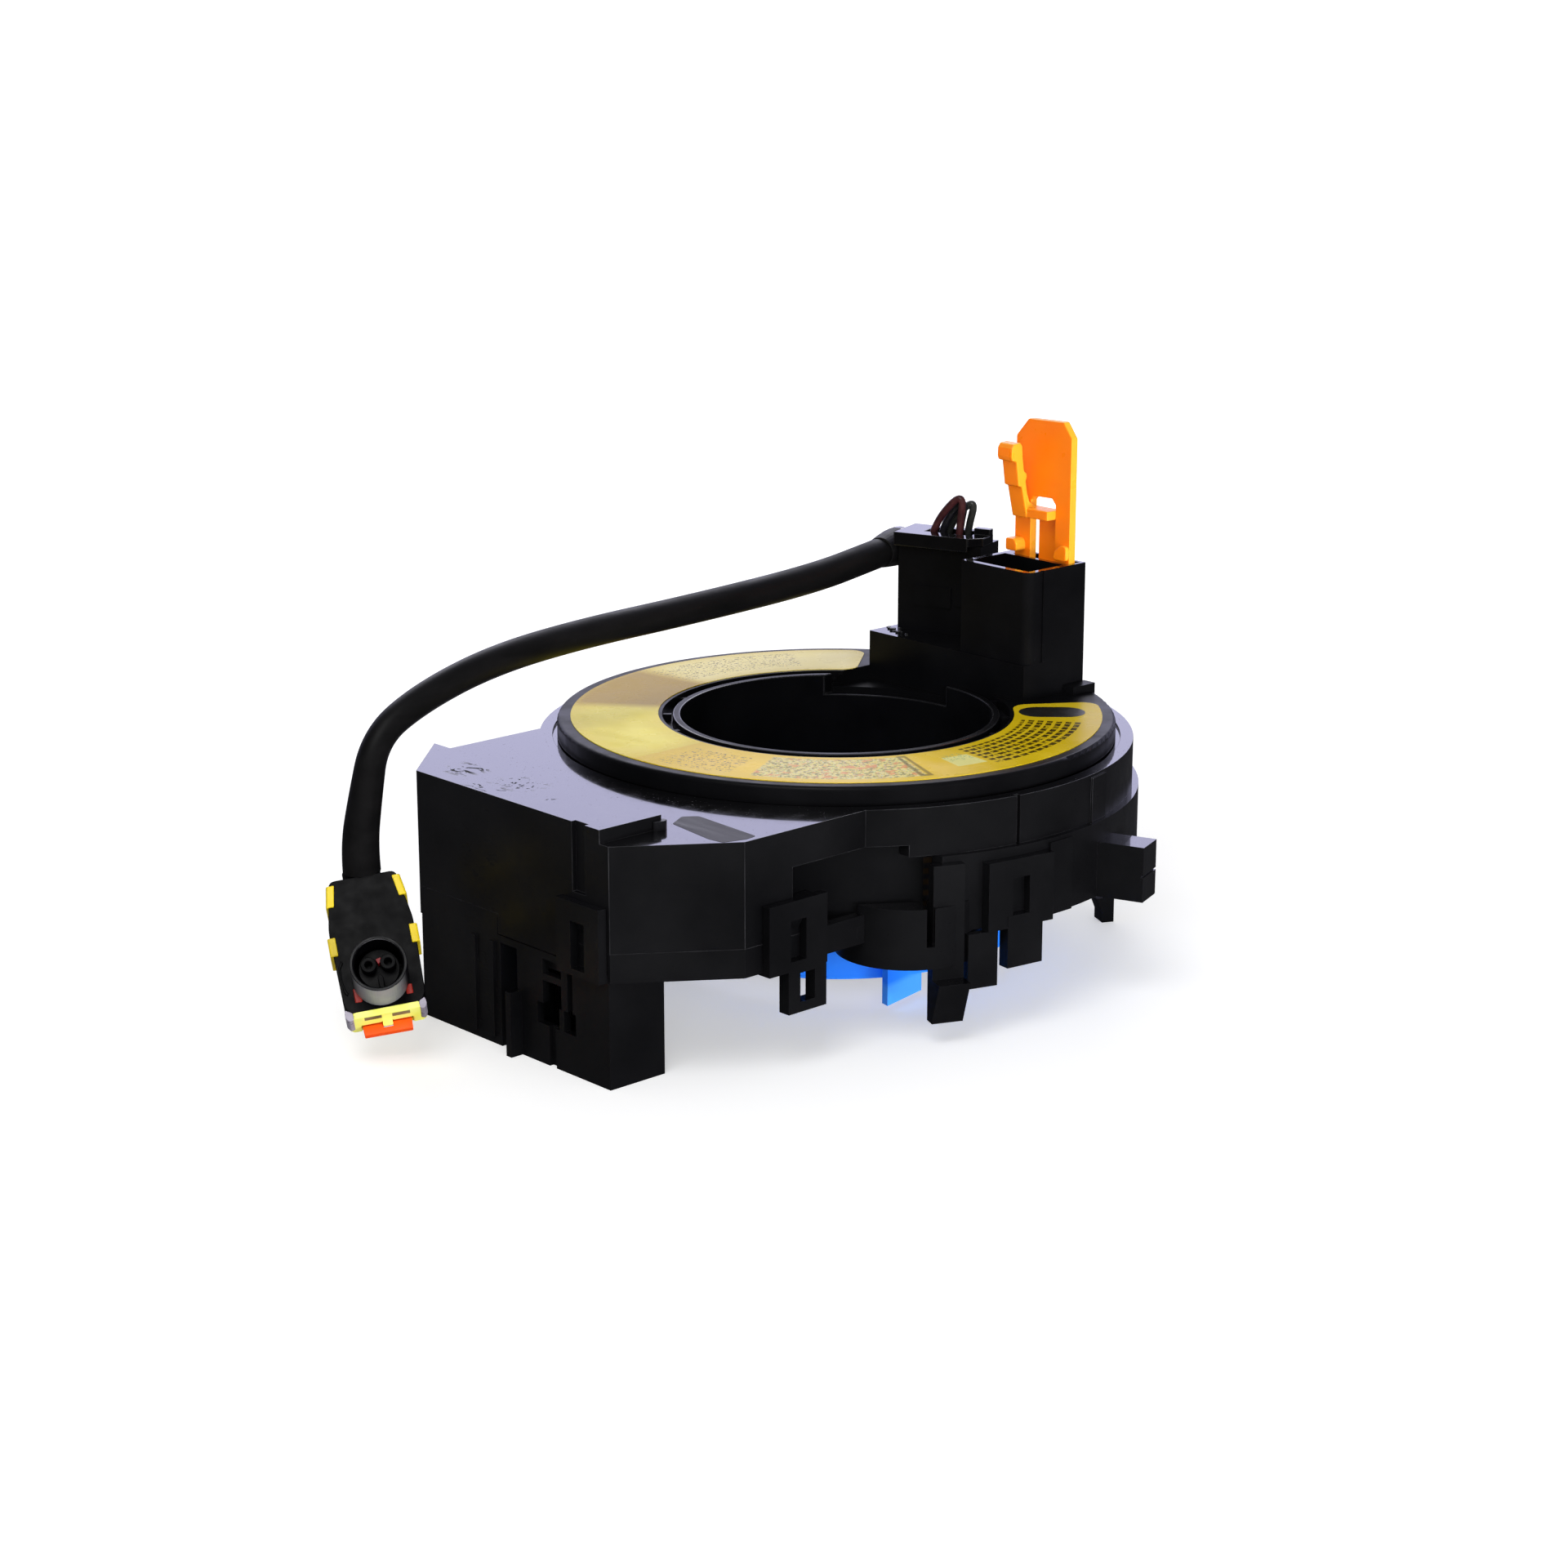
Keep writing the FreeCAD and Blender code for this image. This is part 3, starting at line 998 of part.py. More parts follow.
def write(pieces):
    os.makedirs("parts", exist_ok=True)
    for piece in pieces:
        piece.Shape.exportStep(f"parts/{piece.Label}.step")
        print(piece.Label, "solids", len(piece.Shape.Solids), "volume", round(piece.Shape.Volume, 1))


parts = build()
check(parts)
write(parts)
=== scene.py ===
import math

import bmesh
import bpy
from mathutils import Matrix, Vector


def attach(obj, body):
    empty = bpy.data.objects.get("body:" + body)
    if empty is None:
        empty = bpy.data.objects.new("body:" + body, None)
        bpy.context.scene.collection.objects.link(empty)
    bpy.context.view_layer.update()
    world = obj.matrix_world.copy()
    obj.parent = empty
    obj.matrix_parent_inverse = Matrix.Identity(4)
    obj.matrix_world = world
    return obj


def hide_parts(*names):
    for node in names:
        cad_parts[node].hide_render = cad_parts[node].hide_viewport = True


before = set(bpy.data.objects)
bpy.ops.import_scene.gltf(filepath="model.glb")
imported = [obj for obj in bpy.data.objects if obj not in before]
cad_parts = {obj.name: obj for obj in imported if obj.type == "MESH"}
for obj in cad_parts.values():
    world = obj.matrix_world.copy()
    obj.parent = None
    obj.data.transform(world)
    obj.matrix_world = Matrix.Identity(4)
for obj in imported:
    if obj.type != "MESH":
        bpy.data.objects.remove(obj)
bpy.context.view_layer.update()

# A steering clock spring. The rotor turns about +Z, and z = 0 is the top face of its ring.
# Outlines, routes, edge widths and the camera's place are in millimetres. The floor, the lamps and
# the places in materials are in metres, apart from the label's fields.
MM = 0.001
FLOOR = -0.046


def mm(*values):
    return Vector(values) * MM


def add_object(name, data):
    """A new object, linked to the scene."""
    made = bpy.data.objects.new(name, data)
    bpy.context.scene.collection.objects.link(made)
    return made


# Node trees and materials

class Nodes:
    """A node tree under construction."""

    def __init__(self, tree):
        self.tree = tree

    def node(self, kind, inputs=None, **settings):
        node = self.tree.nodes.new("ShaderNode" + kind)
        for key, value in settings.items():
            setattr(node, key, value)
        for key, value in (inputs or {}).items():
            self.feed(value, node.inputs[key])
        return node

    def feed(self, value, socket):
        """Links a socket to another node, or sets it to a plain value."""
        if isinstance(value, bpy.types.NodeSocket):
            self.tree.links.new(value, socket)
        elif socket.type == "RGBA":
            socket.default_value = (*value, 1)
        else:
            socket.default_value = value

    def math(self, kind, a, b=0.0, clamp=False):
        return self.node("Math", {0: a, 1: b}, operation=kind, use_clamp=clamp).outputs[0]

    def times(self, value, *others):
        for other in others:
            value = self.math("MULTIPLY", value, other)
        return value

    def plus(self, value, *others):
        for other in others:
            value = self.math("ADD", value, other)
        return value

    def length(self, vector):
        return self.node("VectorMath", {0: vector}, operation="LENGTH").outputs["Value"]

    def span(self, value, low, high, first=0.0, last=1.0):
        """Goes evenly from first to last while the value goes from low to high."""
        return self.node("MapRange", {0: value, 1: low, 2: high, 3: first, 4: last}).outputs[0]

    def mix(self, factor, a, b):
        """A blend of two colours."""
        node = self.node("Mix", {0: factor}, data_type="RGBA")
        sockets = [s for s in node.inputs if s.type == "RGBA"]
        for socket, value in zip(sockets, (a, b)):
            self.feed(value, socket)
        return next(s for s in node.outputs if s.type == "RGBA")


class Look(Nodes):
    """A material whose colour, roughness and bump come from nodes on a Principled shader."""

    def __init__(self, name, **values):
        self.material = bpy.data.materials.new(name)
        self.material.use_nodes = True
        super().__init__(self.material.node_tree)
        self.shader = self.tree.nodes["Principled BSDF"]
        self.set(**values)

    def set(self, **values):
        for key, value in values.items():
            self.feed(value, self.shader.inputs[key.replace("_", " ")])

    def place(self):
        """The point on the object, in metres."""
        return self.node("TexCoord").outputs["Object"]

    def axis(self, name):
        return self.node("SeparateXYZ", {0: self.place()}).outputs[name]

    def normal(self):
        """The way the surface faces, as X, Y and Z from -1 to 1."""
        return self.node("SeparateXYZ", {0: self.node("NewGeometry").outputs["Normal"]}).outputs

    def noise(self, scale, detail=3.0, rough=0.55, stretch=None, distortion=0.0):
        place = self.place()
        if stretch:
            place = self.node("Mapping", {"Vector": place, "Scale": stretch}).outputs[0]
        return self.node("TexNoise", {"Vector": place, "Scale": scale, "Detail": detail,
                                      "Roughness": rough, "Distortion": distortion}).outputs[0]

    def ramp(self, value, *stops):
        """Remaps a value; each stop is (place, grey or colour)."""
        ramp = self.node("ValToRGB", {0: value})
        elements = ramp.color_ramp.elements
        while len(elements) < len(stops):
            elements.new(0.5)
        for element, (place, tone) in zip(elements, stops):
            element.position = place
            element.color = (*tone, 1) if isinstance(tone, tuple) else (tone, tone, tone, 1)
        return ramp.outputs[0]

    def between(self, value, low, high, soft):
        """1 where the value lies between two bounds, with a soft edge."""
        rise = self.span(value, low - soft, low + soft)
        return self.times(rise, self.span(value, high - soft, high + soft, 1.0, 0.0))

    def color(self, value):
        self.feed(value, self.shader.inputs["Base Color"])

    def rough(self, value):
        self.feed(value, self.shader.inputs["Roughness"])

    def bump(self, height, strength, distance):
        node = self.node("Bump", {"Height": height, "Strength": strength, "Distance": distance})
        self.feed(node.outputs[0], self.shader.inputs["Normal"])

    def mottle(self, pattern, dark, light):
        """Lets the colour drift between two tones."""
        self.color(self.ramp(pattern, (0.3, dark), (0.7, light)))

    def polish(self, pattern, low, high):
        """Lets the roughness drift between two values."""
        self.rough(self.ramp(pattern, (0.3, low), (0.7, high)))


def black_plastic(name, side=0.40, scuffs=False, shine_from=None, index=1.5):
    """Moulded black plastic: polished where it faces up, finely grained on its sides."""
    look = Look(name, Specular_IOR_Level=0.40, IOR=index, Coat_Roughness=0.05, Coat_IOR=1.75)
    upward = look.ramp(look.normal()["Z"], (0.55, 0.0), (0.85, 1.0))
    if shine_from is not None:
        upward = look.times(upward, look.span(look.axis("Z"), shine_from, shine_from + 0.0005))
    rough_side = look.ramp(look.noise(160, 4), (0.3, side - 0.08), (0.7, side + 0.12))
    rough_top = look.ramp(look.noise(420, 2), (0.35, 0.08), (0.75, 0.17))
    roughness = look.mix(upward, rough_side, rough_top)
    coat = upward
    if scuffs:
        marks = scuff_marks(look)
        coat = look.times(upward, look.math("SUBTRACT", 1.0, marks))
        roughness = look.mix(marks, roughness, (0.85, 0.85, 0.85))
    look.feed(coat, look.shader.inputs["Coat Weight"])
    dark, light = (0.0022, 0.0022, 0.0027), (0.0052, 0.0052, 0.0060)
    look.color(look.ramp(look.noise(60, 3), (0.3, dark), (0.75, light)))
    look.rough(roughness)
    grain = look.times(look.noise(2600, 2), 0.2)
    wave = look.times(look.noise(55, 2), 1.6)
    look.bump(look.plus(grain, wave), 0.10, 0.00008)
    return look.material


def scuff_marks(look):
    """Specks, short scratches and a rubbed corner on the polished top of the box."""
    def region(x_low, x_high, y_low, y_high, soft=0.0015):
        inside = look.between(look.axis("X"), x_low, x_high, soft)
        return look.times(inside, look.between(look.axis("Y"), y_low, y_high, soft))

    speck = look.ramp(look.noise(850, 2, 0.7), (0.585, 0.0), (0.60, 1.0))
    drawn_out = look.noise(650, 3, stretch=(1.0, 0.35, 1.0), distortion=0.8)
    scratch = look.ramp(drawn_out, (0.60, 0.0), (0.62, 1.0))
    middle = look.times(speck, region(-0.0755, -0.0695, -0.0015, 0.0075))
    far = look.times(scratch, region(-0.077, -0.070, 0.0135, 0.0205))
    outer = look.times(scratch, region(-0.0805, -0.0765, 0.000, 0.009))
    lone = look.times(speck, region(-0.0757, -0.0738, -0.0088, -0.0072, 0.0004))
    dust = look.ramp(look.noise(2300, 1), (0.735, 0.0), (0.75, 0.6))
    return look.math("ADD", look.plus(middle, far, outer, lone), dust, clamp=True)


def edge_highlight_plastic(name, tone):
    """The edges of a black moulding, a little paler and smoother than its faces; the paler tone is a painted
    highlight.
    """
    look = Look(name, Specular_IOR_Level=0.6)
    highlight_mottle = look.noise(240, 4, stretch=(1.0, 1.0, 0.6))
    dark = (tone * 0.25, tone * 0.25, tone * 0.28)
    # Painted highlight: the edge colour runs from a dark tone up to a paler one.
    look.color(look.ramp(highlight_mottle, (0.35, dark), (0.7, (tone, tone, tone * 1.1))))
    look.polish(highlight_mottle, 0.34, 0.22)
    return look.material


def satin(name, dark, light, rough=0.35, grain=900, level=0.4):
    """Plain moulded plastic of one colour, slightly uneven, for the small pieces."""
    look = Look(name, Specular_IOR_Level=level)
    look.mottle(look.noise(220, 3), dark, light)
    look.polish(look.noise(400, 2), rough - 0.06, rough + 0.08)
    look.bump(look.noise(grain, 2), 0.08, 0.00005)
    return look.material


def matte_patch():
    """The rubbed grey patch on the box's flat top."""
    look = Look("matte_patch", Specular_IOR_Level=0.4)
    streak = look.noise(420, 4, stretch=(1.0, 0.12, 1.0))
    look.color(look.ramp(streak, (0.35, (0.020, 0.019, 0.027)), (0.65, (0.060, 0.057, 0.076))))
    look.polish(streak, 0.45, 0.7)
    look.bump(streak, 0.35, 0.0001)
    return look.material


def orange_plastic():
    """Glassy orange moulding, with painted light: paler and more amber where it faces along Y or up."""
    look = Look("tab_orange", Subsurface_Weight=0.12, Subsurface_Scale=0.002, Specular_IOR_Level=0.4,
                Subsurface_Radius=(1.0, 0.35, 0.05))
    deep = look.ramp(look.noise(90, 3), (0.25, (0.98, 0.19, 0.002)), (0.75, (0.99, 0.24, 0.004)))
    normal = look.normal()
    # Painted light: faces that point along Y or up are mixed toward a paler amber.
    across = look.math("MAXIMUM", look.math("ABSOLUTE", normal["Y"]), normal["Z"])
    pale = look.ramp(across, (0.5, 0.0), (0.8, 1.0))
    look.color(look.mix(pale, deep, (0.98, 0.42, 0.025)))
    look.polish(look.noise(300, 3), 0.26, 0.38)
    look.bump(look.noise(140, 3), 0.12, 0.0001)
    return look.material


def cam_plastic():
    """Blue moulding of the cancel cam, paler on its fin, with a faint painted glow in place of light."""
    look = Look("cam_blue", Subsurface_Weight=0.1, Subsurface_Scale=0.003)
    fin = look.span(look.axis("Z"), -0.0418, -0.0406, 1.0, 0.0)
    body = look.ramp(look.noise(80, 2), (0.3, (0.014, 0.20, 0.98)), (0.7, (0.022, 0.25, 1.0)))
    look.color(look.mix(fin, body, (0.07, 0.36, 0.98)))
    # Painted glow: a faint blue emission stands in for light that reaches the cam under the housing.
    look.set(Emission_Color=(0.01, 0.09, 0.55), Emission_Strength=0.25)
    look.polish(look.noise(300, 2), 0.3, 0.42)
    look.bump(look.noise(900, 2), 0.08, 0.00005)
    return look.material


def badge_ink():
    """The black of the bare oval on the label."""
    look = Look("badge_ink", Subsurface_Weight=0.08, Subsurface_Scale=0.002)
    look.mottle(look.noise(220, 3), (0.012, 0.011, 0.010), (0.020, 0.018, 0.015))
    look.polish(look.noise(400, 2), 0.3, 0.45)
    look.bump(look.noise(700, 2), 0.1, 0.00006)
    return look.material


def tinned_metal():
    look = Look("tinned_metal", Metallic=1.0)
    look.mottle(look.noise(500, 3), (0.30, 0.28, 0.25), (0.48, 0.45, 0.39))
    look.polish(look.noise(900, 3, stretch=(1, 1, 0.1)), 0.18, 0.34)
    return look.material


def cable_film():
    """The flat cable's film, with the lines of its conductors."""
    look = Look("cable_film", Specular_IOR_Level=0.5)
    band = look.node("TexWave", {"Vector": look.place(), "Scale": 160.0}, bands_direction="Z")
    look.color(look.ramp(band.outputs[0], (0.4, (0.020, 0.020, 0.024)), (0.6, (0.05, 0.032, 0.018))))
    look.polish(look.noise(200), 0.3, 0.4)
    return look.material


def tubing(name, tone):
    """Soft black sleeve with a faint lengthwise mottle."""
    look = Look(name, Specular_IOR_Level=0.3, IOR=1.3)
    dark, light = (tone, tone, tone * 1.08), (tone * 2, tone * 1.9, tone * 2)
    look.mottle(look.noise(260, 4, stretch=(0.25, 1, 1)), dark, light)
    look.polish(look.noise(120, 4), 0.36, 0.55)
    look.bump(look.plus(look.noise(1500, 2), look.times(look.noise(140, 3), 2.0)), 0.15, 0.00012)
    return look.material


def wire_skin(name, dark, light):
    look = Look(name, Specular_IOR_Level=0.5)
    look.mottle(look.noise(500, 2), dark, light)
    look.polish(look.noise(700, 2), 0.28, 0.42)
    look.bump(look.noise(1800, 2), 0.08, 0.00004)
    return look.material


def barrel_look():
    """Black, with a painted reflection of the ground: paler where it faces down."""
    look = Look("barrel_black", Specular_IOR_Level=0.3)
    # Painted reflection: faces that point down are mixed toward a pale grey.
    painted_ground_reflection = look.span(look.normal()["Z"], -0.92, -0.25, 1.0, 0.0)
    dark = look.ramp(look.noise(300, 2), (0.3, (0.002, 0.002, 0.0025)), (0.7, (0.005, 0.005, 0.006)))
    look.color(look.mix(painted_ground_reflection, dark, (0.30, 0.30, 0.32)))
    look.polish(look.noise(500, 2), 0.35, 0.48)
    return look.material


# Studio: floor, world, lamps and the photograph's camera

STAGE_REACH = 6.0
FLOOR_COLOR, FLOOR_IN_GLOSS = (0.82, 0.82, 0.82), (0.07, 0.07, 0.075)
WORLD_SEEN, WORLD_FILL = (1.0, 1.0, 1.0), (0.38, 0.38, 0.39)
GLOSS_IN_FRONT, GLOSS_BEHIND = (0.045, 0.045, 0.05), (0.97, 0.96, 1.36)
BEHIND = (0.678, 0.735, 0.0)
# Each lamp: name, place, aim, size, power, and whether gloss shows it
LAMPS = [("key_lamp", (-0.55, -0.30, 0.75), (0, 0, 0), (0.5, 0.5), 3.4, True),
         ("fill_lamp", (-0.55, -0.80, 0.20), (0, 0, -0.01), (0.7, 0.3), 3.6, False),
         ("low_lamp", (-0.03, -0.40, -0.02), (-0.01, -0.03, -0.038), (0.25, 0.03), 1.2, False),
         ("back_lamp", (0.45, 0.65, 0.55), (0, 0, 0), (0.9, 0.4), 2.6, True)]
CAMERA_PLACE = (-407.8, -427.62, 151.86)
CAMERA_RIGHT, CAMERA_AHEAD = (0.7349, -0.6782, 0.0), (0.6529, 0.7076, -0.2703)
CAMERA_LENS, CAMERA_SENSOR = 75.0, 36.0


def floor_look():
    """White to the eye, with the object's soft shadow; dark to the gloss of the sides."""
    look = Look("floor_white", Roughness=0.9, Specular_IOR_Level=0.1, Emission_Color=(1.0, 1.0, 1.0))
    path = look.node("LightPath")
    look.color(look.mix(path.outputs["Is Glossy Ray"], FLOOR_COLOR, FLOOR_IN_GLOSS))
    level = look.span(look.length(look.place()), 0.12, 0.75, 0.40, 1.0)
    seen = look.times(path.outputs["Is Camera Ray"], level)
    look.feed(seen, look.shader.inputs["Emission Strength"])
    return look.material


def build_floor():
    wide = STAGE_REACH
    corners = [(-wide, -wide, FLOOR), (wide, -wide, FLOOR), (wide, wide, FLOOR), (-wide, wide, FLOOR)]
    mesh = bpy.data.meshes.new("studio_floor")
    mesh.from_pydata(corners, [], [(0, 1, 2, 3)])
    mesh.materials.append(floor_look())
    floor = add_object("studio_floor", mesh)


def build_world():
    """White behind the object for the eye and the polished tops, dim in front of it."""
    world = bpy.data.worlds.new("studio")
    bpy.context.scene.world = world
    world.use_nodes = True
    nodes = Nodes(world.node_tree)
    direction = nodes.node("TexCoord").outputs["Generated"]
    ahead = nodes.node("VectorMath", {0: direction, 1: BEHIND}, operation="DOT_PRODUCT").outputs["Value"]
    gloss = nodes.mix(nodes.span(ahead, 0.40, 0.85), GLOSS_IN_FRONT, GLOSS_BEHIND)
    path = nodes.node("LightPath")
    light = nodes.mix(path.outputs["Is Glossy Ray"], WORLD_FILL, gloss)
    background = nodes.tree.nodes["Background"]
    nodes.feed(nodes.mix(path.outputs["Is Camera Ray"], light, WORLD_SEEN), background.inputs["Color"])
    nodes.feed(1.0, background.inputs["Strength"])


def build_lamps():
    for name, place, aim, size, power, mirrored in LAMPS:
        data = bpy.data.lights.new(name, "AREA")
        data.shape = "RECTANGLE"
        data.size, data.size_y = size
        data.energy = power
        lamp = add_object(name, data)
        lamp.location = place
        lamp.rotation_euler = (Vector(aim) - Vector(place)).to_track_quat("-Z", "Y").to_euler()
        lamp.visible_glossy = mirrored


def build_camera():
    right, ahead = Vector(CAMERA_RIGHT), Vector(CAMERA_AHEAD).normalized()
    right = (right - ahead * right.dot(ahead)).normalized()
    data = bpy.data.cameras.new("photo_camera")
    data.lens = CAMERA_LENS
    data.sensor_width = CAMERA_SENSOR
    data.sensor_fit = "HORIZONTAL"
    camera = add_object("photo_camera", data)
    turn = Matrix((right, right.cross(ahead), -ahead)).transposed().to_4x4()
    camera.matrix_world = Matrix.Translation(mm(*CAMERA_PLACE)) @ turn
    bpy.context.scene.camera = camera


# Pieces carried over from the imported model

EDGE_SEGMENTS = 2
EDGE_ANGLE = math.radians(35)
WELD_REACH = 0.000002
# Each moulding of the housing and of the rotor, and the width of its rounded edges
HOUSING_NODES = [("housing_upper", 0.35), ("housing_lower", 0.3), ("contact_carrier", 0.2)]
ROTOR_NODES = [("rotor_disc", 0.3), ("rotor_sleeve", 0.25), ("tower_cap", 0.2)]


def paint(name, *materials):
    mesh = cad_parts[name].data
    mesh.materials.clear()
    for material in materials:
        mesh.materials.append(material)


def round_edges(piece, width):
    """Rounds sharp edges with modifiers, so that they catch the light."""
    bevel = piece.modifiers.new("edges", "BEVEL")
    bevel.width = width * MM
    bevel.segments = EDGE_SEGMENTS
    bevel.limit_method = "ANGLE"
    bevel.angle_limit = EDGE_ANGLE
    bevel.use_clamp_overlap = True
    normals = piece.modifiers.new("normals", "WEIGHTED_NORMAL")
    normals.keep_sharp = True
    return bevel


def soften(name, width):
    """Joins a node's faces and rounds its edges, in its second material where it has one."""
    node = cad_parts[name]
    weld = node.modifiers.new("weld", "WELD")
    weld.merge_threshold = WELD_REACH
    bevel = round_edges(node, width)
    if len(node.data.materials) > 1:
        bevel.material = 1


def carried_over():
    # The second material of each moulding gives its rounded edges a painted highlight.
    housing = (black_plastic("housing_black", scuffs=True), edge_highlight_plastic("housing_edge_highlight", 0.055))
    rotor = (black_plastic("rotor_black", 0.36, shine_from=0.005, index=1.22),
             edge_highlight_plastic("rotor_edge_highlight", 0.016))
    for nodes, materials in ((HOUSING_NODES, housing), (ROTOR_NODES, rotor)):
        for name, width in nodes:
            paint(name, *materials)
            soften(name, width)
    metal = tinned_metal()
    for name in ("switch_pins", "harness_pins_near", "harness_pins_far", "squib_contacts"):
        paint(name, metal)
    paint("flat_cable", cable_film())
    paint("cancel_cam", cam_plastic())
    soften("cancel_cam", 0.25)


# Forms put together from plates and tubes

PLANES = {"XZ": lambda a, b, depth: (a, depth, b), "YZ": lambda a, b, depth: (depth, a, b),
          "XY": lambda a, b, depth: (a, b, depth)}


def circle(a, b, radius, steps=40):
    turns = [2 * math.pi * i / steps for i in range(steps)]
    return [(a + radius * math.cos(t), b + radius * math.sin(t)) for t in turns]


def rounded(points, radius):
    """A closed outline with each corner cut to a short curve."""
    out = []
    for i, corner in enumerate(points):
        corner = Vector(corner)
        ends = [Vector(points[i - 1]), Vector(points[(i + 1) % len(points)])]
        reach = [min(radius, (end - corner).length / 2.2) for end in ends]
        start, stop = [corner + (end - corner).normalized() * r for end, r in zip(ends, reach)]
        for t in (0, 0.25, 0.5, 0.75, 1):
            out.append(tuple(start * (1 - t) ** 2 + corner * 2 * t * (1 - t) + stop * t * t))
    return out


class Form:
    """One mesh made of closed solids."""

    def __init__(self):
        self.mesh = bmesh.new()

    def ring(self, outline, depth, plane):
        return [self.mesh.verts.new(mm(*PLANES[plane](a, b, depth))) for a, b in outline]

    def wall(self, first, second):
        count = len(first)
        return [self.mesh.faces.new((first[i], first[(i + 1) % count], second[(i + 1) % count], second[i]))
                for i in range(count)]

    def solid(self, ends):
        """A wall between two rings, closed by a face at each."""
        faces = [self.mesh.faces.new(end) for end in ends] + self.wall(*ends)
        bmesh.ops.recalc_face_normals(self.mesh, faces=faces)

    def tube(self, rings):
        """A wall from each ring to the next, and from the last back to the first."""
        faces = []
        for i, ring in enumerate(rings):
            faces += self.wall(ring, rings[(i + 1) % len(rings)])
        bmesh.ops.recalc_face_normals(self.mesh, faces=faces)

    def plate(self, outline, low, high, plane="XZ"):
        """A closed outline stretched from one depth to another."""
        self.solid([self.ring(outline, depth, plane) for depth in (low, high)])
        return self

    def block(self, a, b, depth, plane="XZ"):
        return self.plate([(a[0], b[0]), (a[1], b[0]), (a[1], b[1]), (a[0], b[1])], *depth, plane)

    def pierced(self, outer, inner, low, high, plane="XZ"):
        """A plate with a hole; both outlines have the same number of points."""
        self.tube([self.ring(outline, depth, plane)
                   for outline, depth in ((outer, low), (outer, high), (inner, high), (inner, low))])
        return self

    def piece(self, name, material, body, slot, width, replaces=(), place=None):
        """Turns the form into a piece with rounded edges, which rides on a body."""
        mesh = bpy.data.meshes.new(name)
        self.mesh.to_mesh(mesh)
        self.mesh.free()
        if place:
            mesh.transform(place)
        mesh.materials.append(material)
        piece = add_object(name, mesh)
        if width:
            round_edges(piece, width)
        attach(piece, body)
        if replaces:
            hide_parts(*replaces)
        return piece


# Lock tab: a thin plate with an arched window, a bar across it and a leaning toothed arm

TAB_OUTER = [(-4.0, 10), (-4.0, 47.8), (-7.0, 51.2), (-16.0, 51.5), (-18.2, 48.6), (-18.2, 10)]
TAB_WINDOW = [(-8.1, 24), (-8.1, 35.6), (-9.0, 36.5), (-13.4, 36.6), (-14.4, 35.4), (-14.4, 24)]
TAB_ARM = [(41.0, 32.6), (39.5, 38.7), (38.6, 39.0), (38.5, 39.8), (37.9, 43.7), (36.8, 44.0), (36.5, 44.8),
           (36.6, 46.4), (37.2, 47.2), (39.0, 47.3), (39.5, 46.6), (39.7, 44.2), (40.1, 41.8), (40.9, 41.2),
           (40.9, 40.4), (40.6, 39.8), (41.1, 37.4), (41.8, 35.7), (43.4, 34.6), (43.4, 32.6)]
TAB_NEAR_FOOT = [(-6.8, 25.8), (-4.0, 25.8), (-4.0, 28.2), (-6.2, 28.2), (-6.8, 27.4)]
TAB_FAR_FOOT = [(-18.1, 25.2), (-14.6, 25.2), (-15.0, 27.0), (-16.6, 28.2), (-18.1, 28.0)]
TAB_FACES, ARM_FACES = (43.4, 45.1), (-9.3, -5.5)
# Each block's reach along y, z and x
TAB_PANE = ((-14.6, -9.3), (24.0, 33.4), (44.4, 45.05))
TAB_BAR = ((-14.5, -5.5), (32.7, 34.5), (41.0, 44.9))
TAB_TONGUE = ((-14.3, -8.3), (-2.9, 10.4), (43.5, 45.1))
# The knob on the arm's head, along x, z and y
ARM_KNOB = ((37.6, 39.2), (44.4, 46.0), (-5.6, -4.9))


def build_lock_tab():
    form = Form()
    form.pierced(TAB_OUTER, TAB_WINDOW, *TAB_FACES, "YZ")
    for block in (TAB_PANE, TAB_BAR, TAB_TONGUE):
        form.block(*block, "YZ")
    form.plate(TAB_ARM, *ARM_FACES)
    form.block(*ARM_KNOB)
    form.plate(rounded(TAB_NEAR_FOOT, 0.5), 40.8, 43.6, "YZ")
    form.plate(rounded(TAB_FAR_FOOT, 0.8), 42.5, 43.6, "YZ")
    form.piece("lock_tab_piece", orange_plastic(), "lock_tab", "tab_orange", 0.25, ["lock_tab"])


# Small marks of wear on the box and the tower's foot

PATCH = [(-63.9, -27.2), (-59.9, -25.0), (-57.6, -26.8), (-58.4, -42.1), (-60.7, -42.4), (-65.0, -41.2),
         (-65.4, -38.1)]
LIP = [(-69.2, -28.2), (-66.6, -27.6), (-66.2, -28.6), (-67.2, -29.2), (-68.6, -28.9)]
# Each crumb's place in the plan and its half width
CRUMBS = [(35.2, 21.9, 0.5), (34.4, 20.9, 0.42), (34.0, 19.6, 0.55), (33.4, 18.5, 0.4),
          (33.1, 17.2, 0.5), (33.0, 16.0, 0.36), (33.3, 15.0, 0.45), (35.8, 19.3, 0.4)]
# Lower and upper face of each mark
PATCH_FACES, LIP_FACES, CRUMB_FACES = (-3.25, -3.16), (-3.3, -1.6), (6.95, 7.2)


def crumb(i, x, y, wide):
    """The uneven outline of one crumb."""
    def reach(wave):
        return wide * (1 + 0.35 * wave)

    return [(x + reach(math.sin(7 * i + 2.1 * k)) * math.cos(k * 0.9),
             y + reach(math.cos(5 * i + 1.7 * k)) * math.sin(k * 0.9)) for k in range(7)]


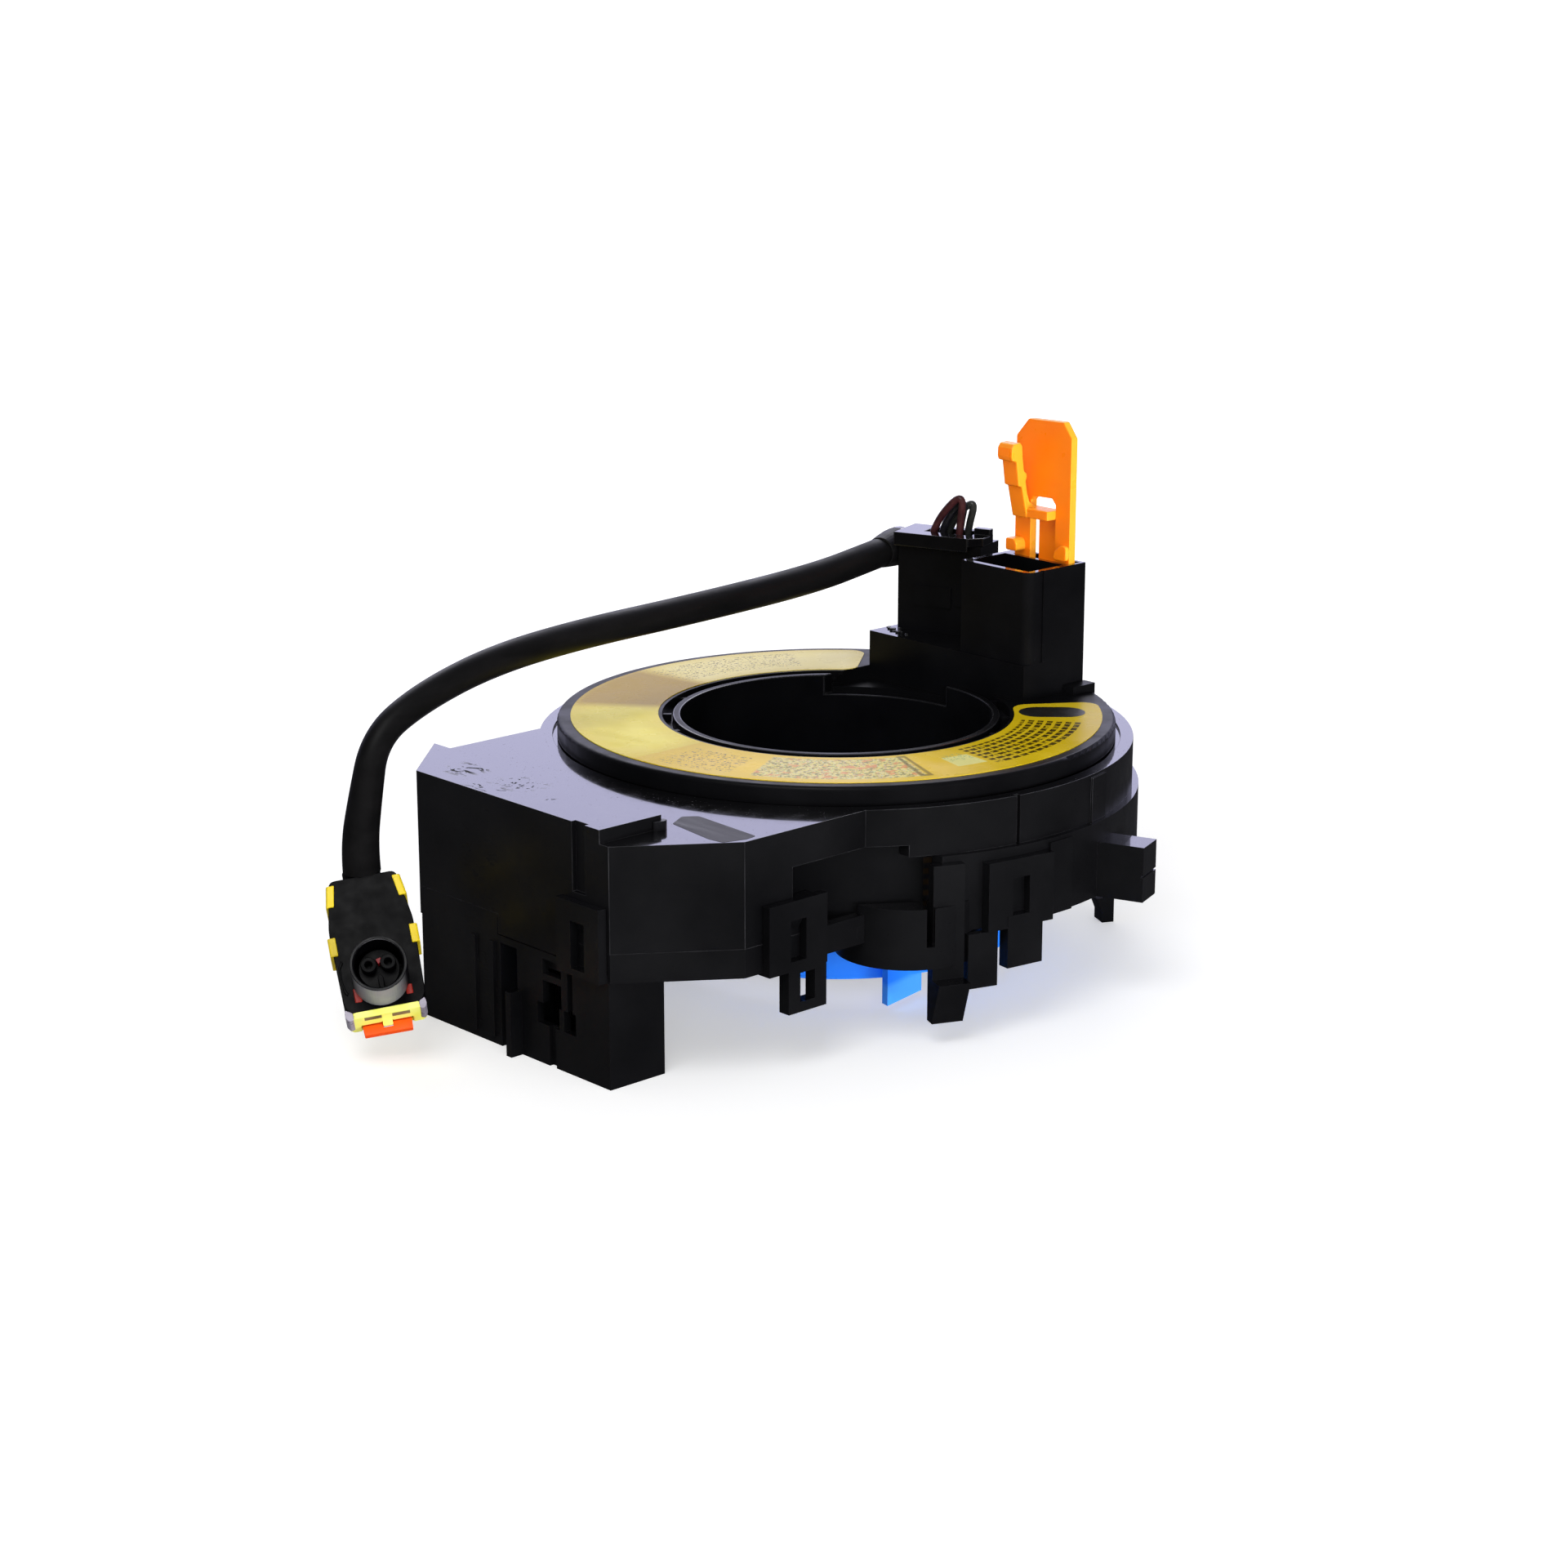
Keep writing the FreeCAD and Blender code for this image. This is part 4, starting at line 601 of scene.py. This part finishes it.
def build_marks():
    patch = Form().plate(rounded(PATCH, 0.5), *PATCH_FACES, "XY")
    patch.piece("matte_patch", matte_patch(), "housing", "housing", 0.03)
    lip = Form().plate(rounded(LIP, 0.4), *LIP_FACES, "XY")
    lip_black = satin("lip_black", (0.004, 0.004, 0.005), (0.008, 0.008, 0.010))
    lip.piece("broken_lip", lip_black, "housing", "housing", 0.2)
    crumbs = Form()
    low, high = CRUMB_FACES
    for i, (x, y, wide) in enumerate(CRUMBS):
        crumbs.plate(crumb(i, x, y, wide), low, high + 0.12 * (i % 3), "XY")
    crumb_black = satin("crumb_black", (0.004, 0.004, 0.004), (0.010, 0.010, 0.011))
    crumbs.piece("foot_crumbs", crumb_black, "rotor", "rotor", 0.08)


# Airbag plug, in its own frame: x to the right, y away from its face, z up to the lead

PLUG = (Matrix.Translation(mm(-95.3, 18.6, -17.3)) @ Matrix.Rotation(math.radians(-38), 4, "Z")
        @ Matrix.Rotation(math.radians(-36), 4, "X") @ Matrix.Rotation(math.radians(-9.7), 4, "Y"))
# Depths of the body's face and back, of the lock's room and the core's face, and the barrel's height
FACE, BACK, LOCK_FRONT, CORE_FRONT, BARREL = -3.2, 3.4, 1.3, -8.4, -18.7
COVER_BACK = 4.6
# How deep a form is set into what carries it
SET_IN = 0.1
# Outer and inner radius of the round forms in the barrel
CORE_RADIUS, LINER_RADII, CONTACT_RADII, BARREL_RADII = 3.5, (4.4, 4.15), (1.35, 0.62), (4.85, 4.3)
LINER_FRONT, CONTACT_FRONT, BARREL_FRONT, KEY_FRONT, MARK_FRONT = -11.45, -10.2, -11.6, -10.8, -10.0
CONTACT_OFFSET = 1.65
SHELL = [(-5.8, 0), (5.8, 0), (7.3, -9), (7.0, -22.6), (5.9, -24.2),
         (-5.9, -24.2), (-7.0, -22.6), (-7.3, -9)]
SHELL_WITH_ROOM = SHELL[:5] + [(4.7, -24.2), (4.7, -20.6), (-5.1, -20.6), (-5.1, -24.2)] + SHELL[5:]
SHROUD = [(-6.1, -14.4), (-6.75, -15.6), (-6.8, -18.0), (-6.5, -20.3), (-6.05, -20.9), (-5.8, -20.4),
          (-6.2, -19.6), (-6.45, -17.8), (-6.4, -15.9), (-5.8, -14.9)]
KEY = [(-0.45, -23.0), (0.35, -23.0), (0.45, -20.9), (0.15, -20.4), (-0.25, -20.4), (-0.55, -20.9)]
LOCK_TAB = [(-4.4, -26.9), (3.9, -27.0), (4.0, -25.2), (0.75, -25.2), (0.7, -26.0), (-1.0, -26.0),
            (-1.05, -25.2), (-4.5, -25.2)]
FOOT = [(-5.5, -3.5), (5.4, -3.5), (6.5, -2.2), (6.6, 3.4), (6.0, 4.6), (4.3, 4.6), (4.3, 1.35),
        (0.75, 1.35), (0.75, 0.95), (-1.05, 0.95), (-1.05, 1.35), (-4.6, 1.35), (-4.6, 4.6), (-6.0, 4.6),
        (-6.6, 3.4), (-6.6, -2.2)]
# Outlines of grey plates that paint the reflection on the body's rounded lower corners
FOOT_CORNERS = [[(-7.0, -23.2), (-5.7, -24.0), (-5.7, -25.2), (-6.5, -25.4), (-7.1, -24.6)],
                [(5.6, -24.0), (6.7, -23.4), (6.9, -24.6), (6.4, -25.4), (5.6, -25.2)]]
RED_MARK = [(-0.35, -17.4), (0.6, -17.2), (0.45, -18.0), (0.0, -18.3)]


def plug_edge(z):
    """Half the plug's width at a height."""
    return 5.8 + 1.5 * min(1.0, -z / 9.0)


def plug_body():
    """The body in two layers, with room for the lock in the rear one, and what the barrel holds."""
    form = Form()
    form.plate(rounded(SHELL, 1.1), FACE, LOCK_FRONT)
    form.plate(rounded(SHELL_WITH_ROOM, 1.1), LOCK_FRONT, BACK)
    form.plate(circle(0, BARREL, CORE_RADIUS), CORE_FRONT, FACE + SET_IN)
    liner = [circle(0, BARREL, radius, 64) for radius in LINER_RADII]
    form.pierced(*liner, LINER_FRONT, FACE + SET_IN)
    for x in (-CONTACT_OFFSET, CONTACT_OFFSET):
        contact = [circle(x, BARREL + 0.5, radius, 24) for radius in CONTACT_RADII]
        form.pierced(*contact, CONTACT_FRONT, CORE_FRONT + SET_IN)
    form.plate(circle(0, 0, 3.3), -0.3, 2.0, "XY")
    form.plate(SHROUD, FACE - 0.22, FACE + SET_IN)
    form.plate(KEY, KEY_FRONT, CORE_FRONT + SET_IN)
    black = satin("plug_black", (0.0007, 0.0007, 0.0010), (0.0015, 0.0015, 0.0019), 0.42, level=0.10)
    return form.piece("plug_body", black, "rotor", "plug_black", 0.22, ["squib_body"], PLUG)


def plug_ear(form, side, top, low):
    """A clip that comes round the plug's side from its back and laps over its face."""
    ends = []
    for z in (top, low):
        edge = plug_edge(z)
        inner, against, outer = edge - 0.95, edge + 0.2, edge + 0.45
        outline = [(inner, FACE - 0.38), (against, FACE - 0.38), (outer, FACE - 0.1), (outer, COVER_BACK),
                   (3.8, COVER_BACK), (3.8, 3.5), (edge - 0.2, 3.3), (edge - 0.2, FACE + SET_IN),
                   (inner, FACE + SET_IN)]
        ends.append(form.ring([(side * x, y) for x, y in outline], z, "XY"))
    form.solid(ends)


def plug_cover():
    form = Form()
    form.block((-5.6, 5.6), (-24.9, -0.6), (BACK, COVER_BACK))
    for top, low in ((-0.9, -4.7), (-10.2, -13.5)):
        for side in (-1, 1):
            plug_ear(form, side, top, low)
    yellow = satin("plug_yellow", (0.62, 0.46, 0.006), (0.74, 0.56, 0.012), 0.38)
    return form.piece("plug_cover", yellow, "rotor", "plug_yellow", 0.14, ["squib_cover"], PLUG)


def plug_lock():
    """The orange-red lock's notched tab below the plug, and its stub in the body's room."""
    form = Form()
    form.plate(LOCK_TAB, 1.5, 3.3)
    form.block((-4.3, 3.9), (-25.4, -22.6), (2.0, 3.3))
    red = satin("plug_red", (0.93, 0.07, 0.001), (0.97, 0.10, 0.002), 0.36)
    return form.piece("plug_lock", red, "squib_lock", "plug_red", 0.12, ["squib_lock"], PLUG)


def plug_barrel():
    barrel = [circle(0, BARREL, radius, 64) for radius in BARREL_RADII]
    form = Form().pierced(*barrel, BARREL_FRONT, FACE + 2 * SET_IN)
    return form.piece("plug_barrel", barrel_look(), "rotor", "plug_black", 0.12, place=PLUG)


def plug_foot():
    """The pale frame round the plug's foot, and its tongue in the lock's notch."""
    form = Form()
    form.plate(FOOT, -25.1, -24.0, "XY")
    form.block((-1.0, 0.7), (-25.9, -24.9), (0.9, 1.4))
    pale = satin("foot_yellow", (0.90, 0.92, 0.12), (0.98, 1.0, 0.26), 0.4)
    return form.piece("plug_foot", pale, "rotor", "plug_yellow", 0.14, place=PLUG)


def plug_arms():
    """The lock's two arms, one each side of the barrel, in a dark red that paints the shade of the openings
    they sit in.
    """
    form = Form()
    form.block((-5.0, -3.7), (-22.3, -19.7), (FACE - 0.12, -0.5))
    form.block((3.8, 5.0), (-22.4, -20.6), (FACE - 0.12, -0.5))
    # Painted shade: the arms' red is darkened to stand for their shaded openings.
    deep = satin("arm_red_painted_shade", (0.16, 0.008, 0.004), (0.26, 0.014, 0.008), 0.3)
    return form.piece("plug_arms", deep, "squib_lock", "plug_red", 0.2, place=PLUG)


def plug_corner_reflections():
    form = Form()
    for corner in FOOT_CORNERS:
        form.plate(rounded(corner, 0.3), FACE - 0.15, 2.6)
    # Painted reflection: pale grey plates stand for light on the body's rounded corners.
    grey = satin("corner_painted_reflection", (0.16, 0.14, 0.19), (0.38, 0.35, 0.42), 0.3, 1500)
    return form.piece("plug_corner_reflections", grey, "rotor", "plug_black", 0.12, place=PLUG)


def plug_slots():
    """The two slots in the foot's underside, as thin plates painted darker for the shade inside them."""
    form = Form()
    form.block((-3.95, -1.0), (-3.0, -1.4), (-25.15, -25.0), "XY")
    form.block((0.8, 3.85), (-2.8, -1.1), (-25.15, -25.0), "XY")
    # Painted shade: an olive grey darker than the foot stands for the shaded slots.
    dark = satin("slot_painted_shade", (0.10, 0.09, 0.03), (0.22, 0.20, 0.10), 0.5)
    return form.piece("plug_slots", dark, "rotor", "plug_black", 0.03, place=PLUG)


def plug_mark():
    form = Form().plate(RED_MARK, MARK_FRONT, CORE_FRONT + SET_IN)
    red = satin("mark_red", (0.12, 0.002, 0.004), (0.2, 0.003, 0.006))
    return form.piece("plug_mark", red, "rotor", "plug_black", 0.05, place=PLUG)


def build_plug():
    return [plug_body(), plug_cover(), plug_lock(), plug_barrel(), plug_foot(), plug_arms(), plug_corner_reflections(),
            plug_slots(), plug_mark()]


# Label: a C of golden film with plain printed fields, which are placed by angle and radius

LABEL_IN, LABEL_OUT, LABEL_HIGH = 33.2, 49.5, 0.15
LABEL_FROM, LABEL_TO = math.radians(39.5), math.radians(325.5)
LABEL_CORNER = 3.2
ACROSS = (32, 50)
# Zones of the film's own colour: from and to in degrees, softness, colour
ZONES = [(-179.9, -100, 12, (0.95, 0.66, 0.05)), (130, 179.9, 8, (1.0, 0.86, 0.12)),
         (38, 97, 6, (0.97, 0.84, 0.34)), (97, 131, 2.5, (0.47, 0.30, 0.002))]


class LabelLook(Look):
    """The film's material, with fields in degrees round the axis and millimetres from it."""

    def __init__(self):
        super().__init__("label_film", Specular_IOR_Level=0.5, IOR=1.18)
        x, y = self.axis("X"), self.axis("Y")
        self.angle = self.times(self.math("ARCTAN2", y, x), 180 / math.pi)
        flat = self.node("CombineXYZ", {"X": x, "Y": y}).outputs[0]
        self.reach = self.times(self.length(flat), 1000.0)

    def field(self, start, stop, inner, outer, soft=0.3):
        """1 inside a sector of the ring."""
        across = self.between(self.reach, inner, outer, soft * 0.7)
        return self.times(self.between(self.angle, start, stop, soft), across)

    def pulse(self, value, pitch, share):
        """1 over a share of each pitch of the value, 0 over the rest."""
        phase = self.math("FRACT", self.math("DIVIDE", value, pitch))
        return self.math("LESS_THAN", phase, share)


def label_gold(look):
    """The film's gold, with its brighter and duller zones."""
    gold = look.ramp(look.noise(38, 3), (0.3, (0.66, 0.46, 0.004)), (0.6, (0.76, 0.55, 0.012)),
                     (0.85, (0.84, 0.66, 0.06)))
    for start, stop, soft, tone in ZONES:
        gold = look.mix(look.field(start, stop, *ACROSS, soft), gold, tone)
    streak = look.ramp(look.noise(55, 3, stretch=(1.0, 0.4, 1.0), distortion=1.2), (0.45, 0.0), (0.62, 0.8))
    gold = look.mix(look.times(streak, look.field(138, 172, 33, 49, 3.0)), gold, (0.80, 0.66, 0.01))
    bloom = look.ramp(look.noise(80, 3), (0.4, 0.0), (0.7, 0.5))
    return look.mix(look.times(bloom, look.field(-172, -100, *ACROSS, 4.0)), gold, (0.86, 0.62, 0.22))


def label_rows(look, color):
    """Rows of short bars, and two fields of thin broken rows."""
    cells = look.times(look.pulse(look.angle, 2.9, 0.80), look.pulse(look.reach, 1.72, 0.62))
    broken = look.ramp(look.noise(700, 1), (0.34, 0.2), (0.42, 1.0))
    bars = look.times(cells, broken, look.field(-95, -53.5, 34.8, 45.9), 0.95)
    color = look.mix(bars, color, (0.040, 0.024, 0.002))
    thin = look.ramp(look.noise(1900, 2, 0.7), (0.53, 0.0), (0.57, 1.0))
    rows = look.times(thin, look.pulse(look.reach, 1.05, 0.6))
    fields = look.math("ADD", look.field(57, 97, 36.5, 47.0), look.field(-176, -157, 36.5, 47.5), clamp=True)
    return look.mix(look.times(rows, fields, 0.9), color, (0.12, 0.09, 0.03))


def label_strip(look, color, spark, dots):
    """A glittering strip with small dark marks and rosy spots."""
    strip = look.field(-152, -114, 34.6, 47.4, 0.4)
    sheen = look.mix(look.noise(70, 2), (0.86, 0.70, 0.16), (0.80, 0.82, 0.42))
    color = look.mix(look.times(strip, 0.7), color, sheen)
    tint = look.mix(0.5, spark.outputs["Color"], (0.95, 0.88, 0.6))
    color = look.mix(look.times(dots, strip, 0.9), color, tint)
    marks = look.ramp(look.noise(1150, 3, 0.75), (0.50, 0.0), (0.56, 1.0))
    color = look.mix(look.times(marks, strip, 0.75), color, (0.20, 0.17, 0.05))
    rosy = look.ramp(look.noise(420, 2), (0.56, 0.0), (0.64, 0.8))
    return look.mix(look.times(rosy, strip), color, (0.80, 0.30, 0.10))


def label_box(look, color, dots):
    """A thin frame beside the strip, and a pale box with green dots."""
    outer = look.field(-115.6, -112.6, 34.0, 47.6, 0.2)
    line = look.math("SUBTRACT", outer, look.field(-114.6, -113.6, 35.0, 46.6, 0.2))
    color = look.mix(look.times(line, 0.7), color, (0.16, 0.12, 0.03))
    color = look.mix(look.field(-104.5, -96.4, 38.2, 44.2, 0.2), color, (0.84, 0.80, 0.30))
    green = look.times(dots, look.field(-104, -96.8, 36.8, 41.0, 0.2), 0.7)
    return look.mix(green, color, (0.25, 0.42, 0.22))


def label_look():
    look = LabelLook()
    spark = look.node("TexVoronoi", {"Vector": look.place(), "Scale": 1900.0})
    dots = look.ramp(spark.outputs["Distance"], (0.25, 1.0), (0.45, 0.0))
    color = label_rows(look, label_gold(look))
    color = label_strip(look, color, spark, dots)
    look.color(label_box(look, color, dots))
    look.polish(look.noise(150, 3), 0.20, 0.34)
    look.bump(look.noise(60, 2), 0.15, 0.0001)
    return look.material


def rounded_sector(start, stop, inner, outer, corner, steps=96, bend=8):
    """The plan outline of a C shape with rounded corners."""
    turns = [math.pi / 2 * i / bend for i in range(bend)]
    left = [corner * (1 - math.sin(a)) for a in turns]
    cut = [corner * (1 - math.cos(a)) for a in turns]

    def arc(radius, first, last):
        inset = math.copysign(corner / radius, last - first)
        first, last = first + inset, last - inset
        return [(first + (last - first) * i / steps, radius) for i in range(steps + 1)]

    polar = arc(outer, start, stop)
    polar += [(stop - a / outer, outer - b) for a, b in zip(left[1:], cut[1:])]
    polar += [(stop - b / inner, inner + a) for a, b in zip(left, cut)]
    polar += arc(inner, stop, start)
    polar += [(start + a / inner, inner + b) for a, b in zip(left[1:], cut[1:])]
    polar += [(start + b / outer, outer - a) for a, b in zip(left, cut)]
    return [(radius * math.cos(angle), radius * math.sin(angle)) for angle, radius in polar]


def pill(centre, length, width, turn, steps=12):
    """A rounded bar's outline."""
    points = []
    for end in (1, -1):
        for i in range(steps + 1):
            a = -math.pi / 2 + math.pi * i / steps + (0 if end == 1 else math.pi)
            x = end * (length - width) / 2 + width / 2 * math.cos(a)
            y = width / 2 * math.sin(a)
            points.append((centre[0] + x * math.cos(turn) - y * math.sin(turn),
                           centre[1] + x * math.sin(turn) + y * math.cos(turn)))
    return points


def build_label():
    outline = rounded_sector(LABEL_FROM, LABEL_TO, LABEL_IN, LABEL_OUT, LABEL_CORNER)
    sheet = Form().plate(outline, 0, LABEL_HIGH, "XY")
    sheet.piece("label_sheet", label_look(), "rotor", "label_yellow", 0, ["label"])
    oval = pill((29.0, -27.9), 12.4, 7.4, math.radians(-43.8))
    badge = Form().plate(oval, LABEL_HIGH - 0.05, LABEL_HIGH + 0.03, "XY")
    badge.piece("label_badge", badge_ink(), "rotor", "rotor", 0)


# Lead and wires

LEAD_POINTS = [(40.5, 25.6, 22.0), (31.0, 22.3, 22.0), (14.5, 21.8, 19.8), (-16.8, 20.9, 18.8),
               (-45.3, 20.1, 18.5), (-65.8, 19.4, 17.0), (-81.6, 19.0, 13.0), (-91.7, 18.7, 7.8),
               (-94.2, 18.7, -3.0), (-95.7, 18.6, -10.5), (-95.4, 18.6, -15.3)]
LEAD_SWELL = [1.0, 1.0, 1.0, 0.97, 0.95, 0.95, 0.93, 0.86, 1.02, 1.12, 1.14]
LEAD_RADIUS, WIRE_RADIUS = 2.9, 0.72
# Radius and depth of each ring of the gland's tapered mouth
MOUTH_RINGS = [(3.75, -0.5), (3.7, 1.2), (3.35, 4.5), (3.0, 7.0), (2.7, 7.0), (2.7, -0.5)]
CROWN_TURN = math.radians(19)
# Each wire: name, dark and light tone, distance from the axis, and its points across and up
WIRES = [
    ("wire_brown", (0.026, 0.006, 0.008), (0.058, 0.016, 0.017), 43.85,
     [(2.0, 22.5), (1.95, 27.2), (-5.2, 35.5), (-4.2, 27.0), (-4.0, 22.5)]),
    ("wire_black", (0.006, 0.006, 0.008), (0.014, 0.013, 0.017), 45.35,
     [(0.6, 22.5), (0.5, 27.4), (-5.0, 33.9), (-3.5, 26.6), (-3.4, 22.5)]),
    ("wire_grey", (0.014, 0.015, 0.014), (0.030, 0.031, 0.029), 46.85,
     [(0.0, 22.5), (-0.1, 27.2), (-6.5, 33.7), (-4.5, 26.2), (-4.3, 22.5)])]


def spline_curve(name, points, radius, swell=None):
    """A smooth tube along control points, whose radius may swell from point to point."""
    data = bpy.data.curves.new(name, "CURVE")
    data.dimensions = "3D"
    data.bevel_depth = radius * MM
    data.bevel_resolution = 8
    data.resolution_u = 24
    data.use_fill_caps = True
    line = data.splines.new("NURBS")
    line.points.add(len(points) - 1)
    for i, point in enumerate(points):
        line.points[i].co = (*mm(*point), 1)
        line.points[i].radius = swell[i] if swell else 1.0
    line.order_u = 3
    line.use_endpoint_u = True
    return add_object(name, data)


def build_lead():
    sleeve = spline_curve("lead_tube", LEAD_POINTS, LEAD_RADIUS, LEAD_SWELL)
    sleeve.data.materials.append(tubing("sleeve_black", 0.003))
    sleeve.visible_glossy = False
    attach(sleeve, "rotor")
    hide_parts("lead_sleeve")
    plug = build_plug() + [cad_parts["squib_contacts"]]
    build_relief()


def build_relief():
    """The tapered mouth of the gland, round the lead's first stretch."""
    start, after = mm(*LEAD_POINTS[0]), mm(*LEAD_POINTS[1])
    turn = (after - start).to_track_quat("Y", "Z").to_matrix().to_4x4()
    form = Form()
    form.tube([form.ring(circle(0, 0, radius, 32), depth, "XZ") for radius, depth in MOUTH_RINGS])
    place = Matrix.Translation(start) @ turn
    form.piece("gland_mouth", tubing("relief_black", 0.004), "rotor", "rotor", 0.15, place=place)


def in_crown(radial, across, z):
    """A point given in the tower's frame, which is turned about the axis."""
    return (radial * math.cos(CROWN_TURN) - across * math.sin(CROWN_TURN),
            radial * math.sin(CROWN_TURN) + across * math.cos(CROWN_TURN), z)


def build_wires():
    for number, (name, dark, light, radial, route) in enumerate(WIRES, start=1):
        wire = spline_curve(name, [in_crown(radial, across, z) for across, z in route], WIRE_RADIUS)
        wire.data.materials.append(wire_skin(name + "_skin", dark, light))
        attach(wire, "rotor")
        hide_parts(f"lead_wire_{number}")


build_floor()
build_world()
build_lamps()
build_camera()
carried_over()
build_lock_tab()
build_marks()
build_label()
build_lead()
build_wires()
bpy.context.scene.view_settings.view_transform = "Standard"
